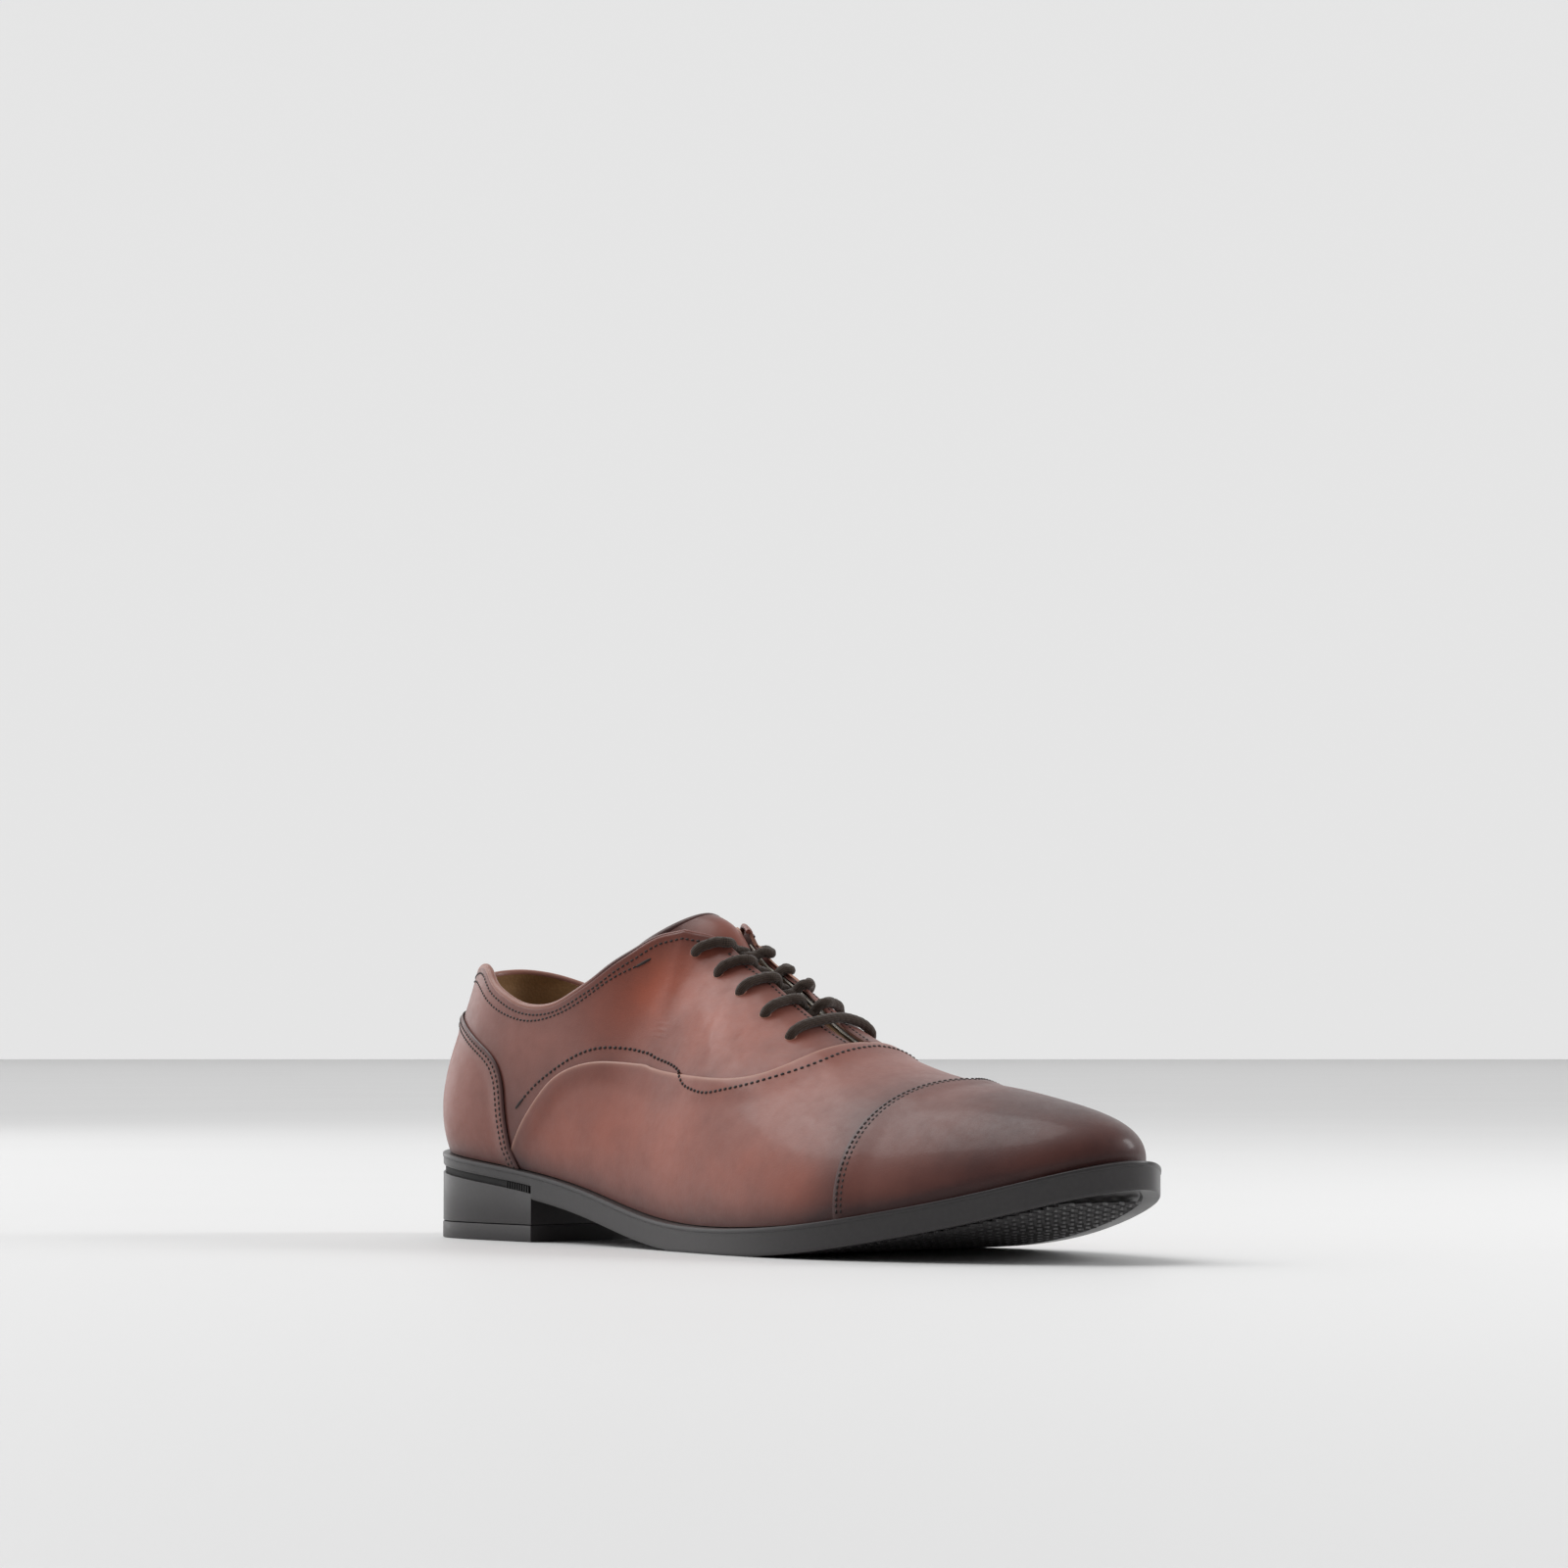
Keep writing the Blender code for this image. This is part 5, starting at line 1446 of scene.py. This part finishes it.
def studio_light(name, place, aim, size, power):
    lamp = bpy.data.lights.new(name, "AREA")
    lamp.shape = "RECTANGLE"
    lamp.size, lamp.size_y = size
    lamp.energy = power
    item = into_scene(name, lamp)
    item.location = place
    aimed(item, Vector(aim) - Vector(place))


def build_stage():
    material, surface = shader("floor_finish", Specular_IOR_Level=0.25, Base_Color=FLOOR_COLOUR)
    link(surface, Roughness=levels(noise(where(surface), 3, 2), 0.3, 0.7, 0.5, 0.6))
    studio_plane("studio_floor", FLOOR_SIZE, material)
    world = bpy.data.worlds.new("studio")
    bpy.context.scene.world = world
    world.use_nodes = True
    sky = world.node_tree.nodes["Background"].inputs
    sky["Color"].default_value = SKY_COLOUR
    sky["Strength"].default_value = SKY_STRENGTH
    for light in SOFT_BOXES:
        studio_light(*light)
    sun = bpy.data.lights.new("soft_sun", "SUN")
    sun.energy, sun.angle = SUN_STRENGTH, SUN_ANGLE
    aimed(into_scene("soft_sun", sun), SUN_WAY)
    build_wall()
    bpy.context.scene.view_settings.view_transform = "Standard"


def build_wall():
    """A plain pale wall far behind the shoe, square to the camera's heading."""
    turn = CAMERA_HEADING.to_track_quat("Z", "Y").to_matrix().to_4x4()
    turn.translation = CAMERA_HEADING * WALL_DISTANCE + Vector((0, 0, WALL_HEIGHT))
    material, surface = shader("wall_finish", Roughness=0.9, Base_Color=WALL_COLOUR,
                               Emission_Strength=WALL_GLOW, Emission_Color=(1, 1, 1, 1))
    bumped(surface, noise(where(surface), 2, 2), 0.02, 0.001)
    studio_plane("studio_wall", WALL_SIZE, material, turn)


def build_camera():
    camera = bpy.data.cameras.new("studio_camera")
    camera.sensor_width, camera.lens = SENSOR_WIDTH, LENS
    camera.clip_start, camera.clip_end = 0.05, 60
    item = into_scene("studio_camera", camera)
    item.location = CAMERA_PLACE
    level = CAMERA_HEADING.normalized() * math.cos(CAMERA_PITCH)
    aimed(item, level + Vector((0, 0, math.sin(CAMERA_PITCH))))
    bpy.context.scene.camera = item


# ---------------------------------------------------------------- add-on

def length_property(name, description, default):
    return bpy.props.FloatProperty(name=name, description=description, default=default, min=0,
                                   unit="LENGTH")


def colour_property(name, description, default):
    return bpy.props.FloatVectorProperty(name=name, description=description, default=default,
                                         min=0, max=1, subtype="COLOR", size=3)


class ShoeSizes(bpy.types.PropertyGroup):
    lap: length_property("Lap height", "How far a lapping panel stands above the one below", 0.0009)
    pitch: length_property("Stitch pitch", "Distance from one stitch to the next", 0.0018)
    hole: length_property("Eyelet hole", "Diameter of the punched lace holes", 0.0034)
    lace: length_property("Lace diameter", "Diameter of the woven lace", 0.0031)


class ShoeColours(bpy.types.PropertyGroup):
    leather: colour_property("Leather", "Main colour of the upper", (0.235, 0.07, 0.048))
    warm: colour_property("Warm leather", "Brighter leather below the eyelets", (0.34, 0.062, 0.022))
    # Also the colour of the painted shadow lines at the cap and counter edges and of the tongue's
    # painted shade
    burnish_and_painted_light: colour_property("Burnish", "Dark leather at the toe and seams", (0.05, 0.01, 0.008))
    # Also the colour that the painted highlight along the vamp's seam is drawn towards
    edge: colour_property("Raw edge", "Cut edges of the facings", (0.5, 0.26, 0.18))
    lining: colour_property("Lining", "Leather inside the shoe", (0.34, 0.18, 0.07))
    thread: colour_property("Thread", "Stitching thread", (0.022, 0.01, 0.008))
    lace: colour_property("Lace", "Woven lace", (0.075, 0.05, 0.038))
    sole: colour_property("Sole", "Sole and heel", (0.034, 0.031, 0.032))


class SHOE_OT_upper(bpy.types.Operator):
    """Makes the vamp, toe cap, quarters, counter cover and collar binding"""
    bl_idname = "shoe.upper"
    bl_label = "Upper leather"

    def execute(self, context):
        sizes, colours = context.scene.shoe_sizes, context.scene.shoe_colours
        build_vamp(colours, sizes.lap / MM)
        build_cap(colours, sizes.lap / MM)
        build_quarters(colours, sizes.hole / MM)
        build_eyelet_rims(colours, sizes.hole / MM)
        build_counter(colours, sizes.lap / MM)
        build_collar_edge(colours)
        return {"FINISHED"}


class SHOE_OT_linings(bpy.types.Operator):
    """Makes the leather and fabric linings"""
    bl_idname = "shoe.linings"
    bl_label = "Linings"

    def execute(self, context):
        build_linings(context.scene.shoe_colours)
        return {"FINISHED"}


class SHOE_OT_tongue(bpy.types.Operator):
    """Makes the tongue, its lining and its bound top edge"""
    bl_idname = "shoe.tongue"
    bl_label = "Tongue"

    def execute(self, context):
        build_tongue(context.scene.shoe_colours)
        return {"FINISHED"}


class SHOE_OT_stitching(bpy.types.Operator):
    """Sews the rows of stitches and the bar tacks"""
    bl_idname = "shoe.stitching"
    bl_label = "Stitching"

    def execute(self, context):
        sizes = context.scene.shoe_sizes
        build_stitching(context.scene.shoe_colours, sizes.lap / MM, sizes.pitch / MM)
        return {"FINISHED"}


class SHOE_OT_lace(bpy.types.Operator):
    """Threads the woven lace and its tips"""
    bl_idname = "shoe.lace"
    bl_label = "Lace"

    def execute(self, context):
        build_lace(context.scene.shoe_colours, context.scene.shoe_sizes.lace / MM)
        return {"FINISHED"}


class SHOE_OT_sole(bpy.types.Operator):
    """Makes the sole with its tread"""
    bl_idname = "shoe.sole"
    bl_label = "Sole"

    def execute(self, context):
        build_sole(context.scene.shoe_colours)
        return {"FINISHED"}


class SHOE_OT_heel(bpy.types.Operator):
    """Makes the heel with its ribbed stripe"""
    bl_idname = "shoe.heel"
    bl_label = "Heel"

    def execute(self, context):
        build_heel(context.scene.shoe_colours)
        return {"FINISHED"}


class SHOE_OT_inside(bpy.types.Operator):
    """Makes the insole layers and finishes the inner parts"""
    bl_idname = "shoe.inside"
    bl_label = "Inside"

    def execute(self, context):
        build_inside(context.scene.shoe_colours)
        dress_parts()
        return {"FINISHED"}


class SHOE_OT_stage(bpy.types.Operator):
    """Sets the floor, the lights and the camera"""
    bl_idname = "shoe.stage"
    bl_label = "Stage"

    def execute(self, context):
        build_stage()
        build_camera()
        return {"FINISHED"}


OPERATORS = (SHOE_OT_stage, SHOE_OT_upper, SHOE_OT_linings, SHOE_OT_tongue, SHOE_OT_stitching,
             SHOE_OT_lace, SHOE_OT_sole, SHOE_OT_heel, SHOE_OT_inside)


class SHOE_PT_panel(bpy.types.Panel):
    """Sizes, colours and steps of the shoe"""
    bl_idname = "SHOE_PT_panel"
    bl_label = "Leather Oxford Shoe"
    bl_space_type = "VIEW_3D"
    bl_region_type = "UI"
    bl_category = "Shoe"

    def draw(self, context):
        for group in (context.scene.shoe_sizes, context.scene.shoe_colours):
            for name in group.__annotations__:
                self.layout.prop(group, name)
        for operator in OPERATORS:
            self.layout.operator(operator.bl_idname)


CLASSES = (ShoeSizes, ShoeColours) + OPERATORS + (SHOE_PT_panel,)


def register():
    for item in CLASSES:
        bpy.utils.register_class(item)
    bpy.types.Scene.shoe_sizes = bpy.props.PointerProperty(type=ShoeSizes)
    bpy.types.Scene.shoe_colours = bpy.props.PointerProperty(type=ShoeColours)


def unregister():
    del bpy.types.Scene.shoe_colours
    del bpy.types.Scene.shoe_sizes
    for item in reversed(CLASSES):
        bpy.utils.unregister_class(item)


def main():
    register()
    for operator in OPERATORS:
        getattr(bpy.ops.shoe, operator.bl_idname.split(".")[1])()


if __name__ == "__main__":
    main()
